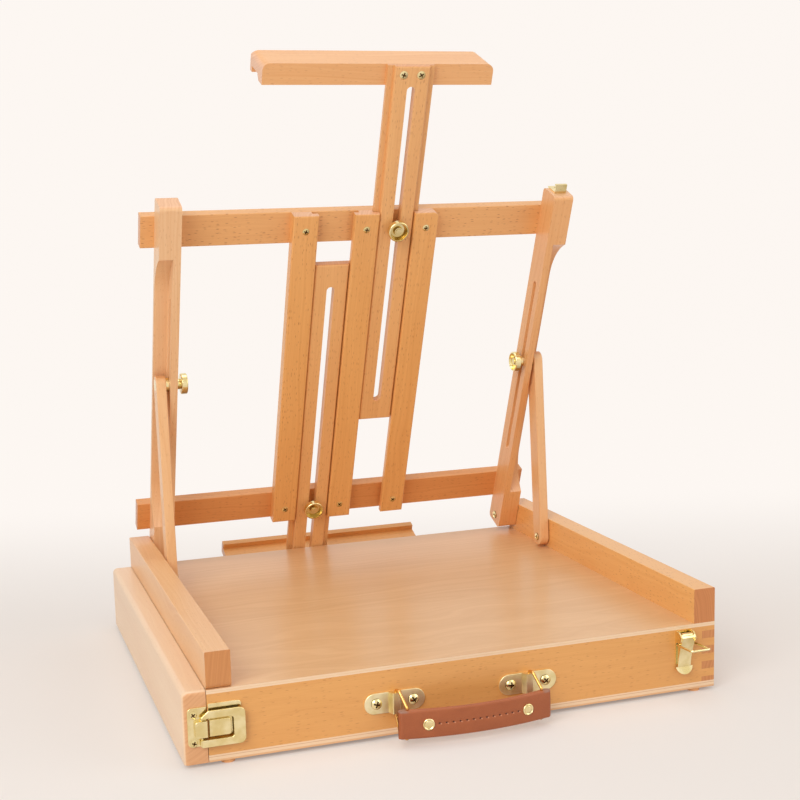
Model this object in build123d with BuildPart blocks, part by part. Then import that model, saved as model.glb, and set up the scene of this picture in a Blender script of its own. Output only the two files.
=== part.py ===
from build123d import *
import os
from math import atan2, cos, degrees, radians, sin, sqrt

# A table box easel: a flat wooden drawer box with a frame hinged at its rear edge. The frame
# leans over the box on two slotted struts, and carries a sliding mast with a clamp bar and a
# sliding canvas shelf. Millimetres, +Z up, table at z = 0, origin under the middle of the easel.

os.makedirs("parts", exist_ok=True)

# The box
box_width = 398.0
box_depth = 352.0
inner_height = 44.0
wall_thick = 11.0
top_thick = 3.0
bottom_thick = 5.0
finger_height = 6.1
top_finger = 3.6
finger_count = 4
rail_width = 18.0
rail_height = 27.0
rail_nose = 4.0
foot_radius = 5.0
foot_height = 3.0
foot_inset_side = 14.5
foot_inset_front = 7.0

# The drawer
front_thick = 17.0
front_gap = 0.4
drawer_play = 0.5
drawer_rest = 0.3
drawer_end_gap = 15.4
drawer_wall = 8.0
drawer_base_thick = 3.0
drawer_side_height = 38.0
divider_thick = 5.0
divider_height = 32.0
long_divider_share = 0.42
cross_divider_shares = (0.36, 0.68)

# The tilting frame
tilt = 67.44
frame_pivot_inset = 9.0
frame_pivot_rise = 15.3
upright_width = 18.0
upright_depth = 24.0
upright_length = 342.0
upright_tail = 8.0
upright_gap = 0.5
upright_round = 3.6
web_thick = 6.2
rebate_floor = -7.5
rebate_low = 73.0
rebate_past_slot = 1.0
scoop_radius = 48.7
clamp_slot_low = 79.0
clamp_slot_spare = 10.5
clamp_slot_width = 5.5
clamp_slot_n = 1.7
cross_height = 28.0
cross_thick = 10.0
cross_overhang = 11.5
upper_cross_drop = 44.8
lower_cross_low = 15.6
lower_cross_trim = 2.0
wood_ease = 0.8

# The guide slats and what slides between them
slat_width = 22.0
slat_thick = 10.0
slat_pitch = 53.5
slat_shift = -1.5
slat_corner = 5.0
slat_ease = 1.4
slider_play = 0.75
slider_thick = 8.0
flange_width = 5.0
flange_thick = 4.0
flange_play = 0.5
slide_gap = 0.3
slider_slot_width = 7.0
mast_low = 121.0
mast_high = 451.0
mast_slot_from_low = 19.0
mast_slot_from_high = 16.5
shelf_low = -54.0
shelf_high = 279.0
shelf_slot_from_low = 26.0
shelf_slot_from_high = 21.0

# The clamp bar above and the shelf below, two mouldings of one section
clamp_bar_length = 196.0
canvas_shelf_length = 197.0
clamp_bar_shift = 0.5
canvas_shelf_shift = -3.5
moulding_height = 17.3
moulding_depth = 40.0
moulding_web = 15.0
moulding_plate = 12.5
moulding_lip = 6.0
moulding_chamfer = 4.0
moulding_corner = 6.0
moulding_screw_pitch = 15.0
moulding_screw_from_edge = 7.0

# The struts
strut_short = 175.0
strut_width = 16.0
strut_thick = 8.5
strut_side_gap = 0.8
strut_pivot_inset = 88.5
strut_pivot_rise = 10.0
clamp_gap = 0.1

# Bolts, knobs and screws
bolt_radius = 2.5
bolt_head_radius = 5.0
bolt_head_height = 2.4
pivot_screw_cover = 6.3
pivot_head_radius = 3.6
pivot_head_height = 1.5
pivot_head_round = 0.9
running_play = 0.05
coach_head_radius = 6.5
coach_head_round = 1.8
knob_radius = 9.0
knob_height = 9.4
knob_stem_height = 4.0
knob_stem_radius = 4.4
knob_cup_radius = 7.6
knob_cup_depth = 4.4
knob_cup_slope = 1.6
knob_hub_radius = 3.6
knob_hub_flare = 0.6
knob_hub_drop = 1.4
knob_round = 0.9
knob_flare = 0.5
bolt_proud = 0.6
spacer_radius = 6.0

# Brass catch for the drawer, on the front face
catch_left = -14.1
catch_right = 25.9
catch_low = 12.7
catch_high = 38.6
catch_plate = 1.0
catch_corner = 3.0
catch_pad_low = 19.6
catch_pad_high = 31.6
catch_pad_left = -9.4
catch_pad_right = 16.0
catch_seam = 0.6
catch_pad_proud = 4.4
catch_pad_corner = 2.0
catch_pad_edge = 0.6
catch_plate_edge = 0.4
catch_base_over = 2.2
catch_screw_inset = 4.2
catch_screw_low = 2.7
catch_screw_high = 2.9
hasp_thick = 1.2
hasp_edge = 0.45
hasp_back = 3.6
hasp_window_play = 1.6
hasp_pin_x = -4.6
hasp_pin_y = 2.7
hasp_pin_radius = 0.7
hasp_knuckle_radius = 1.4
hasp_knuckle_play = 0.4
hasp_knuckle_low = 0.8
hasp_back_edge = 0.6
hasp_slope_x = 4.6
hasp_slope_z = 4.2
hasp_window_round = 2.4
keeper_low = 15.0
keeper_high = 42.6
keeper_right = 24.0
keeper_screw_inset = 3.2
keeper_screw_low = 3.4
keeper_screw_high = 9.0

# Draw latch at the right of the front face, which holds the folded frame down
latch_inset = 27.8
latch_width = 13.0
latch_low = 22.0
latch_high = 48.5
latch_plate = 1.0
latch_ear_depth = 9.0
latch_ear_low = 41.5
latch_ear_cut = 3.5
latch_ear_taper = 1.0
latch_ear_foot = 3.0
latch_screw_low = 4.5
latch_screw_pitch = 9.0
latch_pin_z = 45.6
latch_pin_y = 5.6
latch_pin_radius = 1.4
latch_roll_radius = 2.2
latch_roll_play = 0.3
lever_width = 11.0
lever_skin = 0.9
lever_end_z = 19.6
lever_end_y = 2.7
tongue_radius = 7.3
tongue_length = 6.1
tongue_flare = 20.0
tongue_lap = 0.3
bail_z = 38.6
bail_y = 4.6
bail_width = 15.4
bail_length = 21.78
bail_rise = 4.0
bail_wire = 0.9
bail_end_play = 0.6
hook_width = 10.5
hook_plate = 1.2
hook_reach = 8.0
hook_front = 4.0
hook_curl = 2.6
hook_screw_n = -6.6
hook_back_inset = 1.0

# Carrying handle
handle_shift = -11.3
handle_pitch = 104.0
handle_z = 25.1
handle_plate_length = 46.0
handle_plate_height = 15.5
handle_plate_thick = 1.4
handle_plate_edge = 0.4
handle_screw_reach = 14.0
channel_base = 10.5
channel_top = 5.6
channel_proud = 4.4
channel_round = 1.0
ring_wire = 1.1
ring_reach = 14.2
ring_turn = 14.0
ring_over = 1.8
ring_shoulder = 4.4
ring_under = 1.3
ring_above_grip = 1.3
ring_below_plate = 2.6
ring_low_shoulder = 5.2
ring_bend = 1.5
grip_end = 6.7
grip_height = 20.6
grip_low = 3.4
grip_thick = 4.4
grip_fold_radius = 3.3
grip_bow = 7.4
rivet_radius = 4.4
rivet_height = 1.2
rivet_round = 0.95
rivet_inset = 20.5
rivet_shank = 1.3
rivet_sink = 0.5

# Places that follow from the sizes
z_low = foot_height
z_floor = z_low + bottom_thick
z_ceiling = z_floor + inner_height
z_top = z_ceiling + top_thick
seam_x = -(box_width - front_thick) / 2
right_x = seam_x + box_width
mid_x = seam_x + box_width / 2
lean_cos = cos(radians(tilt))
lean_sin = sin(radians(tilt))
rear_reach = -shelf_low * lean_cos + (upright_depth / 2 + moulding_depth) * lean_sin
front_reach = bail_y + bail_length * cos(radians(bail_rise)) + bail_wire
face_y = (front_reach - (box_depth - frame_pivot_inset) - rear_reach) / 2
rear_y = face_y + box_depth
pivot_y = rear_y - frame_pivot_inset
pivot_z = z_top + frame_pivot_rise
latch_x = box_width - latch_inset
handle_left_x = (box_width - handle_pitch) / 2 + handle_shift
upright_half = box_width / 2 - rail_width - upright_gap
half_depth = upright_depth / 2
cross_half = upright_half + cross_overhang
upper_cross_low = upright_length - upper_cross_drop
upper_cross_high = upper_cross_low + cross_height
lower_cross_high = lower_cross_low + cross_height
mast_screw_s = upper_cross_low + cross_height / 2
shelf_screw_s = lower_cross_low + cross_height / 2
strut_length = upright_length - strut_short
clamp_slot_high = strut_pivot_inset - frame_pivot_inset + strut_length + clamp_slot_spare
rebate_high = clamp_slot_high + rebate_past_slot
slat_mid_x = mid_x + slat_shift
slider_half = (slat_pitch - slat_width) / 2 - slider_play
mast_x = slat_mid_x + slat_pitch / 2
shelf_x = slat_mid_x - slat_pitch / 2
slider_back = -half_depth + slide_gap
strut_pivot_y = rear_y - strut_pivot_inset
strut_pivot_z = z_top + strut_pivot_rise

# The frame's own directions: x across, s up along the uprights, n towards the front of the box
frame_plane = Plane(
    origin=(0, pivot_y, pivot_z),
    x_dir=(1, 0, 0),
    z_dir=(0, -lean_sin, -lean_cos),
)


def frame_point(x, s, n):
    """A place on the frame, as a point of the whole easel."""
    return frame_plane.from_local_coords((x, s, n))


def frame_spot(x, s, n, way=1):
    """A plane at a place on the frame, which faces to the front of the box, or to the back with way -1."""
    return Plane(origin=frame_point(x, s, n), x_dir=(1, 0, 0), z_dir=way * frame_plane.z_dir)


def frame_side(x):
    """A plane across the frame at x, whose own directions are s and n."""
    up = frame_plane.y_dir
    return Plane(origin=frame_point(x, 0, 0), x_dir=up, z_dir=(1, 0, 0))


strut_pivot_local = frame_plane.to_local_coords(Vector(0, strut_pivot_y, strut_pivot_z))
clamp_s = strut_pivot_local.Y + sqrt(
    strut_length**2 - (strut_pivot_local.Z - clamp_slot_n) ** 2
)
clamp_point = frame_point(0, clamp_s, clamp_slot_n)
strut_angle = degrees(atan2(clamp_point.Z - strut_pivot_z, clamp_point.Y - strut_pivot_y))


def brick(x, y, z, mode=Mode.ADD):
    """A block between two values on each axis."""
    with Locations(((x[0] + x[1]) / 2, (y[0] + y[1]) / 2, (z[0] + z[1]) / 2)):
        Box(abs(x[1] - x[0]), abs(y[1] - y[0]), abs(z[1] - z[0]), mode=mode)


def rod(plane, radius, start, end, mode=Mode.ADD):
    """A round bar along the plane's normal, between two distances from it."""
    with Locations(plane.offset(start)):
        Cylinder(radius, end - start, align=(Align.CENTER, Align.CENTER, Align.MIN), mode=mode)


def rims(part, radius):
    """The round edges of one radius."""
    return part.edges().filter_by(GeomType.CIRCLE).filter_by(lambda e: abs(e.radius - radius) < 0.01)


def frame_s(shape):
    """How far up the frame the middle of a shape lies."""
    return frame_plane.to_local_coords(shape.center()).Y


def frame_n(shape):
    """How far towards the front of the box the middle of a shape lies."""
    return frame_plane.to_local_coords(shape.center()).Z


def side_span(side, near, far):
    """The x range from near to far, counted from the middle towards one side."""
    return tuple(sorted((mid_x + side * near, mid_x + side * far)))


def across(y, z, x=0.0):
    """A plane that faces along X at one place on the easel's side."""
    return Plane(origin=(x, y, z), x_dir=(0, 1, 0), z_dir=(1, 0, 0))


def front_spot(x, z, proud=0.0):
    """A plane that faces out of the box's front, at x from the seam and z above the bottom board."""
    return Plane(
        origin=(seam_x + x, face_y - proud, z_low + z), x_dir=(1, 0, 0), z_dir=(0, -1, 0)
    )


def screw(shank, length, head, height, sunk, mode=Mode.ADD, slotted=True):
    """One screw whose head faces along local +Z, with a cross cut in it."""
    low = (Align.CENTER, Align.CENTER, Align.MAX)
    high = (Align.CENTER, Align.CENTER, Align.MIN)
    Cylinder(shank, length, align=low, mode=mode)
    if sunk:
        Cone(shank, head, height, align=low, mode=mode)
    else:
        Cone(head, head * 0.72, height, align=high, mode=mode)
    if slotted:
        level = 0.0 if sunk else height
        cut = (Align.CENTER, Align.CENTER, Align.CENTER)
        with Locations((0, 0, level)):
            Box(head * 1.1, head * 0.24, height * 0.9, align=cut, mode=Mode.SUBTRACT)
            Box(head * 0.24, head * 1.1, height * 0.9, align=cut, mode=Mode.SUBTRACT)


def screw_set(planes, size, mode=Mode.ADD, slotted=True):
    """Screws of one size at each plane, as metal or as the holes that they fill."""
    with Locations(*planes):
        screw(*size, mode=mode, slotted=slotted)


# Screw sizes: shank radius, length below the surface, head radius, head height, sunk or proud
slat_screw = (1.5, 16.0, 3.0, 1.8, True)
cross_screw = (1.9, 26.0, 3.8, 2.2, True)
moulding_screw = (1.9, 18.0, 3.5, 2.1, True)
plate_screw = (1.8, 9.0, 4.0, 2.4, False)
catch_screw = (1.3, 8.0, 2.7, 1.4, True)
hook_screw = (1.5, 14.0, 2.9, 1.6, True)

# Where the screws go
slat_xs = [slat_mid_x - slat_pitch, slat_mid_x, slat_mid_x + slat_pitch]
slat_screw_spots = [
    frame_spot(x, s, -half_depth + slat_thick) for x in slat_xs for s in (mast_screw_s, shelf_screw_s)
]
upright_mid = upright_half - upright_width / 2
cross_screw_spots = [
    frame_spot(mid_x + side * upright_mid, low + share * cross_height, -half_depth - cross_thick, -1)
    for side in (-1, 1)
    for low in (upper_cross_low, lower_cross_low)
    for share in (0.25, 0.75)
]
mast_bolt_plane = frame_spot(mast_x, mast_screw_s, 0)
shelf_bolt_plane = frame_spot(shelf_x, shelf_screw_s, 0)
slider_front = -half_depth + slider_thick
clamp_bar_screw_spots = [
    frame_spot(mast_x + k * moulding_screw_pitch / 2, mast_high - moulding_screw_from_edge, slider_front)
    for k in (-1, 1)
]
shelf_screw_spots = [
    frame_spot(shelf_x + k * moulding_screw_pitch / 2, shelf_low + moulding_screw_from_edge, slider_front)
    for k in (-1, 1)
]
handle_xs = [handle_left_x, handle_left_x + handle_pitch]
handle_screw_spots = [
    front_spot(x + side * handle_screw_reach, handle_z, handle_plate_thick)
    for x in handle_xs
    for side in (-1, 1)
]
catch_screw_spots = [
    front_spot(catch_left + catch_screw_inset, z, catch_plate)
    for z in (catch_low + catch_screw_low, catch_high - catch_screw_high)
]
keeper_screw_spots = [
    front_spot(keeper_right - keeper_screw_inset, z, catch_plate)
    for z in (keeper_low + keeper_screw_low, keeper_high - keeper_screw_high)
]
latch_screw_spots = [
    front_spot(latch_x, latch_low + latch_screw_low + k * latch_screw_pitch, latch_plate) for k in (0, 1)
]
hook_x = seam_x + latch_x
hook_screw_spots = [
    Plane(
        origin=frame_point(hook_x, upright_length + hook_plate, hook_screw_n),
        x_dir=(1, 0, 0),
        z_dir=frame_plane.y_dir,
    )
]

# Finger joints: the right panel's fingers reach through the front and rear panels
finger_spans = []
for i in range(finger_count):
    finger_top = z_ceiling - top_finger - 2 * i * finger_height
    finger_low = max(finger_top - finger_height, z_floor)
    if finger_top - finger_low > 0.5:
        finger_spans.append((finger_low, finger_top))
right_wall = (right_x - wall_thick, right_x)
front_wall = (face_y, face_y + wall_thick)
rear_wall = (rear_y - wall_thick, rear_y)
all_x = (seam_x, right_x)
all_y = (face_y, rear_y)

# Front panel, with the holes of the brass fittings that are screwed to it
with BuildPart() as front_panel:
    brick(all_x, front_wall, (z_floor, z_ceiling))
    for span in finger_spans:
        brick(right_wall, front_wall, span, Mode.SUBTRACT)
    screw_set(handle_screw_spots, plate_screw, Mode.SUBTRACT, False)
    screw_set(keeper_screw_spots, catch_screw, Mode.SUBTRACT, False)
    screw_set(latch_screw_spots, catch_screw, Mode.SUBTRACT, False)
front_panel.part.label = "front_panel"
export_step(front_panel.part, "parts/front_panel.step")

# Rear panel
with BuildPart() as rear_panel:
    brick(all_x, rear_wall, (z_floor, z_ceiling))
    for span in finger_spans:
        brick(right_wall, rear_wall, span, Mode.SUBTRACT)
rear_panel.part.label = "rear_panel"
export_step(rear_panel.part, "parts/rear_panel.step")

# Right panel, the closed end of the box
with BuildPart() as right_panel:
    brick(right_wall, (front_wall[1], rear_wall[0]), (z_floor, z_ceiling))
    for span in finger_spans:
        brick(right_wall, all_y, span)
right_panel.part.label = "right_panel"
export_step(right_panel.part, "parts/right_panel.step")

# Top and bottom boards
with BuildPart() as top_board:
    brick(all_x, all_y, (z_ceiling, z_top))
top_board.part.label = "top_board"
export_step(top_board.part, "parts/top_board.step")

with BuildPart() as bottom_board:
    brick(all_x, all_y, (z_low, z_floor))
bottom_board.part.label = "bottom_board"
export_step(bottom_board.part, "parts/bottom_board.step")

# Rubber feet
foot_xs = (seam_x + foot_inset_side, right_x - foot_inset_side)
foot_ys = (face_y + foot_inset_front, rear_y - foot_inset_front)
with BuildPart() as rubber_feet:
    with Locations(*[(x, y, 0) for x in foot_xs for y in foot_ys]):
        Cylinder(foot_radius, foot_height, align=(Align.CENTER, Align.CENTER, Align.MIN))
rubber_feet.part.label = "rubber_feet"
export_step(rubber_feet.part, "parts/rubber_feet.step")

# Side rails, which carry the frame and strut pivots
pivot_screw_end = box_width / 2 - pivot_screw_cover
for side, name in ((-1, "left"), (1, "right")):
    inner = mid_x + side * (box_width / 2 - rail_width)
    with BuildPart() as side_rail:
        low_x = side_span(side, box_width / 2, box_width / 2 - rail_width)[0]
        with BuildSketch(across(0, 0, low_x)) as section:
            with Locations(((face_y + rear_y) / 2, z_top + rail_height / 2)):
                Rectangle(box_depth, rail_height)
            fillet(section.vertices().group_by(Axis.Z)[-1].sort_by(Axis.Y)[0], rail_nose)
        extrude(amount=rail_width)
        fillet(side_rail.edges().filter_by(Axis.Y).group_by(Axis.Z)[-1], wood_ease)
        for y, z in ((pivot_y, pivot_z), (strut_pivot_y, strut_pivot_z)):
            reach = sorted((inner - mid_x, side * pivot_screw_end))
            rod(across(y, z, mid_x), bolt_radius, *reach, Mode.SUBTRACT)
    side_rail.part.label = f"{name}_side_rail"
    export_step(side_rail.part, f"parts/{name}_side_rail.step")

# Pivot screws: their heads hold the uprights and the struts against the side rails
strut_inner = box_width / 2 - rail_width - strut_side_gap - strut_thick
for axis, seat, name in (
    (across(pivot_y, pivot_z, mid_x), upright_half - upright_width - clamp_gap, "frame_pivot_screws"),
    (across(strut_pivot_y, strut_pivot_z, mid_x), strut_inner - clamp_gap, "strut_pivot_screws"),
):
    with BuildPart() as pivot_screws:
        for side in (-1, 1):
            head = side * (seat - pivot_head_height)
            rod(axis, bolt_radius, *sorted((side * pivot_screw_end, side * seat)))
            rod(axis, pivot_head_radius, *sorted((side * seat, head)))
        heads = rims(pivot_screws, pivot_head_radius)
        fillet(heads.group_by(lambda e: round(abs(e.center().X - mid_x), 3))[0], pivot_head_round)
    pivot_screws.part.label = name
    export_step(pivot_screws.part, f"parts/{name}.step")

# Struts, each with the outer half of its clamp bolt sunk in it
strut_hole_far = box_width / 2 - rail_width - strut_side_gap
for side, name in ((-1, "left"), (1, "right")):
    low_x, high_x = side_span(side, strut_hole_far, strut_inner)
    tip_plane = across(clamp_point.Y, clamp_point.Z, mid_x)
    outer = side * strut_hole_far
    inner = side * strut_inner
    sunk = outer - side * bolt_head_height
    with BuildPart() as strut:
        with BuildSketch(across(strut_pivot_y, strut_pivot_z, low_x)):
            run = Vector(cos(radians(strut_angle)), sin(radians(strut_angle))) * strut_length / 2
            with Locations((run.X, run.Y)):
                SlotCenterToCenter(strut_length, strut_width, rotation=strut_angle)
        extrude(amount=strut_thick)
        fillet(strut.faces().filter_by(Axis.X).edges(), wood_ease)
        pivot = across(strut_pivot_y, strut_pivot_z, low_x)
        rod(pivot, bolt_radius + running_play, -1, strut_thick + 1, Mode.SUBTRACT)
        rod(tip_plane, bolt_head_radius, *sorted((outer + side, sunk)), Mode.SUBTRACT)
        rod(tip_plane, bolt_radius, *sorted((sunk, inner - side)), Mode.SUBTRACT)
    strut.part.label = f"{name}_strut"
    export_step(strut.part, f"parts/{name}_strut.step")

    with BuildPart() as strut_bolt:
        rod(tip_plane, bolt_head_radius, *sorted((outer, sunk)))
        rod(tip_plane, bolt_radius, *sorted((sunk, inner)))
    strut_bolt.part.label = f"{name}_strut_bolt"
    export_step(strut_bolt.part, f"parts/{name}_strut_bolt.step")

# The uprights: rebated on the outer front corner for the strut, with a long slot in the web
scoop_reach = sqrt(scoop_radius**2 - (scoop_radius - (half_depth - rebate_floor)) ** 2)
web_outer = upright_half - upright_width + web_thick
for side, name in ((-1, "left"), (1, "right")):
    outer_x = mid_x + side * upright_half
    low_x = side_span(side, upright_half, upright_half - upright_width)[0]
    with BuildPart() as upright:
        with BuildSketch(frame_side(low_x)) as section:
            with Locations(((upright_length - upright_tail) / 2, 0)):
                Rectangle(upright_length + upright_tail, upright_depth)
            corners = section.vertices()
            foot = corners.filter_by(lambda v: frame_s(v) < 0)
            nose = corners.filter_by(lambda v: frame_s(v) > 0 and frame_n(v) > 0)
            fillet(foot + nose, upright_round)
        extrude(amount=upright_width)
        with BuildSketch(frame_side(min(outer_x, mid_x + side * web_outer))):
            with BuildLine():
                floor = Line((rebate_low, rebate_floor), (rebate_high, rebate_floor))
                high = TangentArc(floor @ 1, (rebate_high + scoop_reach, half_depth), tangent=(1, 0))
                low = TangentArc(floor @ 0, (rebate_low - scoop_reach, half_depth), tangent=(-1, 0))
                Polyline(high @ 1, high @ 1 + (0, 1), low @ 1 + (0, 1), low @ 1)
            make_face()
        extrude(amount=upright_half - web_outer, mode=Mode.SUBTRACT)
        with BuildSketch(frame_side(low_x)):
            with Locations(((clamp_slot_low + clamp_slot_high) / 2, clamp_slot_n)):
                SlotOverall(clamp_slot_high - clamp_slot_low, clamp_slot_width)
        extrude(amount=upright_width, mode=Mode.SUBTRACT)
        pivot = across(pivot_y, pivot_z, low_x)
        rod(pivot, bolt_radius + running_play, -1, upright_width + 1, Mode.SUBTRACT)
        if side > 0:
            screw_set(hook_screw_spots, hook_screw, Mode.SUBTRACT, False)
        screw_set(cross_screw_spots, cross_screw, Mode.SUBTRACT, False)
    upright.part.label = f"{name}_upright"
    export_step(upright.part, f"parts/{name}_upright.step")

# Cross rails behind the uprights
for low, right_half, bolt_plane, name in (
    (upper_cross_low, cross_half, mast_bolt_plane, "upper_cross_rail"),
    (lower_cross_low, cross_half - lower_cross_trim, shelf_bolt_plane, "lower_cross_rail"),
):
    with BuildPart(frame_plane) as cross_rail:
        thickness = (-half_depth - cross_thick, -half_depth)
        brick(side_span(1, -cross_half, right_half), (low, low + cross_height), thickness)
        fillet(cross_rail.edges().filter_by(Axis.X), wood_ease)
    with BuildPart() as cross_rail_drilled:
        add(cross_rail.part)
        rod(bolt_plane, bolt_radius, -half_depth - cross_thick - 1, -half_depth + 1, Mode.SUBTRACT)
        screw_set(cross_screw_spots, cross_screw, Mode.SUBTRACT, False)
        screw_set(slat_screw_spots, slat_screw, Mode.SUBTRACT, False)
    cross_rail_drilled.part.label = name
    export_step(cross_rail_drilled.part, f"parts/{name}.step")

with BuildPart() as cross_rail_screws:
    screw_set(cross_screw_spots, cross_screw)
cross_rail_screws.part.label = "cross_rail_screws"
export_step(cross_rail_screws.part, "parts/cross_rail_screws.step")

# Guide slats, rebated at the back where the sliders' flanges run
rebate_width = flange_width - slider_play + flange_play
rebate_depth = flange_thick + flange_play
for x, sides, name in zip(slat_xs, ((1,), (-1, 1), (-1,)), ("left", "middle", "right")):
    with BuildPart(frame_plane) as blank:
        span = (x - slat_width / 2, x + slat_width / 2)
        brick(span, (lower_cross_low, upper_cross_high), (-half_depth, -half_depth + slat_thick))
        if name == "right":
            through = blank.edges().filter_by(lambda e: abs(e.length - slat_thick) < 0.01)
            corner = through.filter_by(lambda e: e.center().X > x and frame_s(e) > lower_cross_high)
            fillet(corner, slat_corner)
        fillet(blank.faces().sort_by(frame_n)[-1].edges(), slat_ease)
        for side in sides:
            edge = x + side * slat_width / 2
            span = tuple(sorted((edge - side * rebate_width, edge + side)))
            height = (lower_cross_low - 1, upper_cross_high + 1)
            brick(span, height, (-half_depth - 1, -half_depth + rebate_depth), Mode.SUBTRACT)
    with BuildPart() as guide_slat:
        add(blank.part)
        screw_set(slat_screw_spots, slat_screw, Mode.SUBTRACT, False)
    guide_slat.part.label = f"guide_slat_{name}"
    export_step(guide_slat.part, f"parts/guide_slat_{name}.step")

with BuildPart() as slat_screws:
    screw_set(slat_screw_spots, slat_screw)
slat_screws.part.label = "slat_screws"
export_step(slat_screws.part, "parts/slat_screws.step")

# Sliders: a panel between the slats with thin flanges that run behind them
mast_slot = (mast_low + mast_slot_from_low, mast_high - mast_slot_from_high)
shelf_slot = (shelf_low + shelf_slot_from_low, shelf_high - shelf_slot_from_high)
for x, low, high, slot, spots, name in (
    (mast_x, mast_low, mast_high, mast_slot, clamp_bar_screw_spots, "mast_slider"),
    (shelf_x, shelf_low, shelf_high, shelf_slot, shelf_screw_spots, "shelf_slider"),
):
    with BuildPart(frame_plane) as blank:
        brick((x - slider_half, x + slider_half), (low, high), (slider_back, slider_front))
        fillet(blank.faces().sort_by(frame_n)[-1].edges(), slat_ease)
        flange_half = slider_half + flange_width
        brick((x - flange_half, x + flange_half), (low, high), (slider_back, -half_depth + flange_thick))
    with BuildPart() as slider:
        add(blank.part)
        with BuildSketch(frame_plane.offset(-half_depth)):
            with Locations((x, sum(slot) / 2)):
                SlotOverall(slot[1] - slot[0], slider_slot_width, rotation=90)
        extrude(amount=slider_thick + 1, mode=Mode.SUBTRACT)
        screw_set(spots, moulding_screw, Mode.SUBTRACT, False)
    slider.part.label = name
    export_step(slider.part, f"parts/{name}.step")

# Clamp bar and canvas shelf: one section, a web with a plate and a lip that hold the canvas edge
for x, length, edge_s, way, spots, name in (
    (mid_x + clamp_bar_shift, clamp_bar_length, mast_high, 1, clamp_bar_screw_spots, "top_clamp_bar"),
    (mid_x + canvas_shelf_shift, canvas_shelf_length, shelf_low, -1, shelf_screw_spots, "canvas_shelf"),
):
    tip = edge_s - way * moulding_height
    plate = edge_s - way * moulding_plate
    back = slider_back - moulding_depth
    with BuildPart() as moulding:
        with BuildSketch(frame_side(x - length / 2)):
            with BuildLine():
                Polyline(
                    (edge_s, slider_back),
                    (tip, slider_back),
                    (tip, slider_back - moulding_web + moulding_chamfer),
                    (tip + way * moulding_chamfer, slider_back - moulding_web),
                    (plate, slider_back - moulding_web),
                    (plate, back + moulding_lip),
                    (tip, back + moulding_lip),
                    (tip, back),
                    (edge_s - way * moulding_chamfer, back),
                    (edge_s, back + moulding_chamfer),
                    close=True,
                )
            make_face()
        extrude(amount=length)
        ends = moulding.edges().filter_by(lambda e: abs(abs(e.center().X - x) - length / 2) < 0.01)
        fillet(ends.filter_by(lambda e: abs(frame_s(e) - edge_s) < 0.01), moulding_corner)
        screw_set(spots, moulding_screw, Mode.SUBTRACT, False)
    moulding.part.label = name
    export_step(moulding.part, f"parts/{name}.step")

with BuildPart() as clamp_bar_screws:
    screw_set(clamp_bar_screw_spots, moulding_screw)
clamp_bar_screws.part.label = "clamp_bar_screws"
export_step(clamp_bar_screws.part, "parts/clamp_bar_screws.step")

with BuildPart() as shelf_screws:
    screw_set(shelf_screw_spots, moulding_screw)
shelf_screws.part.label = "shelf_screws"
export_step(shelf_screws.part, "parts/shelf_screws.step")


# Clamp bolts through the cross rails, headed at the back
def knob_on(seat):
    """A cupped clamp knob with a hub in the cup, whose foot stands on the seat plane."""
    up = (Align.CENTER, Align.CENTER, Align.MIN)
    down = (Align.CENTER, Align.CENTER, Align.MAX)
    with BuildPart(seat) as knob:
        Cone(knob_stem_radius + knob_flare, knob_stem_radius, knob_stem_height, align=up)
        with Locations((0, 0, knob_stem_height)):
            Cylinder(knob_radius, knob_height - knob_stem_height, align=up)
        fillet(rims(knob, knob_radius), knob_round)
        with Locations((0, 0, knob_height)):
            cup_floor = knob_cup_radius - knob_cup_slope
            Cone(cup_floor, knob_cup_radius, knob_cup_depth, align=down, mode=Mode.SUBTRACT)
        with Locations((0, 0, knob_height - knob_cup_depth)):
            hub_height = knob_cup_depth - knob_hub_drop
            Cone(knob_hub_radius + knob_hub_flare, knob_hub_radius, hub_height, align=up)
        Cylinder(bolt_radius + running_play, 4 * knob_height, mode=Mode.SUBTRACT)
    return knob.part


bolt_end = slider_front + clamp_gap + knob_height - knob_hub_drop + bolt_proud
for bolt_plane, name in ((mast_bolt_plane, "mast_clamp_bolt"), (shelf_bolt_plane, "shelf_clamp_bolt")):
    behind = -half_depth - cross_thick
    with BuildPart() as clamp_bolt:
        rod(bolt_plane, bolt_radius, behind, bolt_end)
        rod(bolt_plane, coach_head_radius, behind - bolt_head_height, behind)
        fillet(rims(clamp_bolt, coach_head_radius).sort_by(frame_n)[0], coach_head_round)
    clamp_bolt.part.label = name
    export_step(clamp_bolt.part, f"parts/{name}.step")

mast_knob = knob_on(mast_bolt_plane.offset(slider_front + clamp_gap))
mast_knob.label = "mast_knob"
export_step(mast_knob, "parts/mast_knob.step")

shelf_knob = knob_on(shelf_bolt_plane.offset(slider_front + clamp_gap))
shelf_knob.label = "shelf_knob"
export_step(shelf_knob, "parts/shelf_knob.step")

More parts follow.
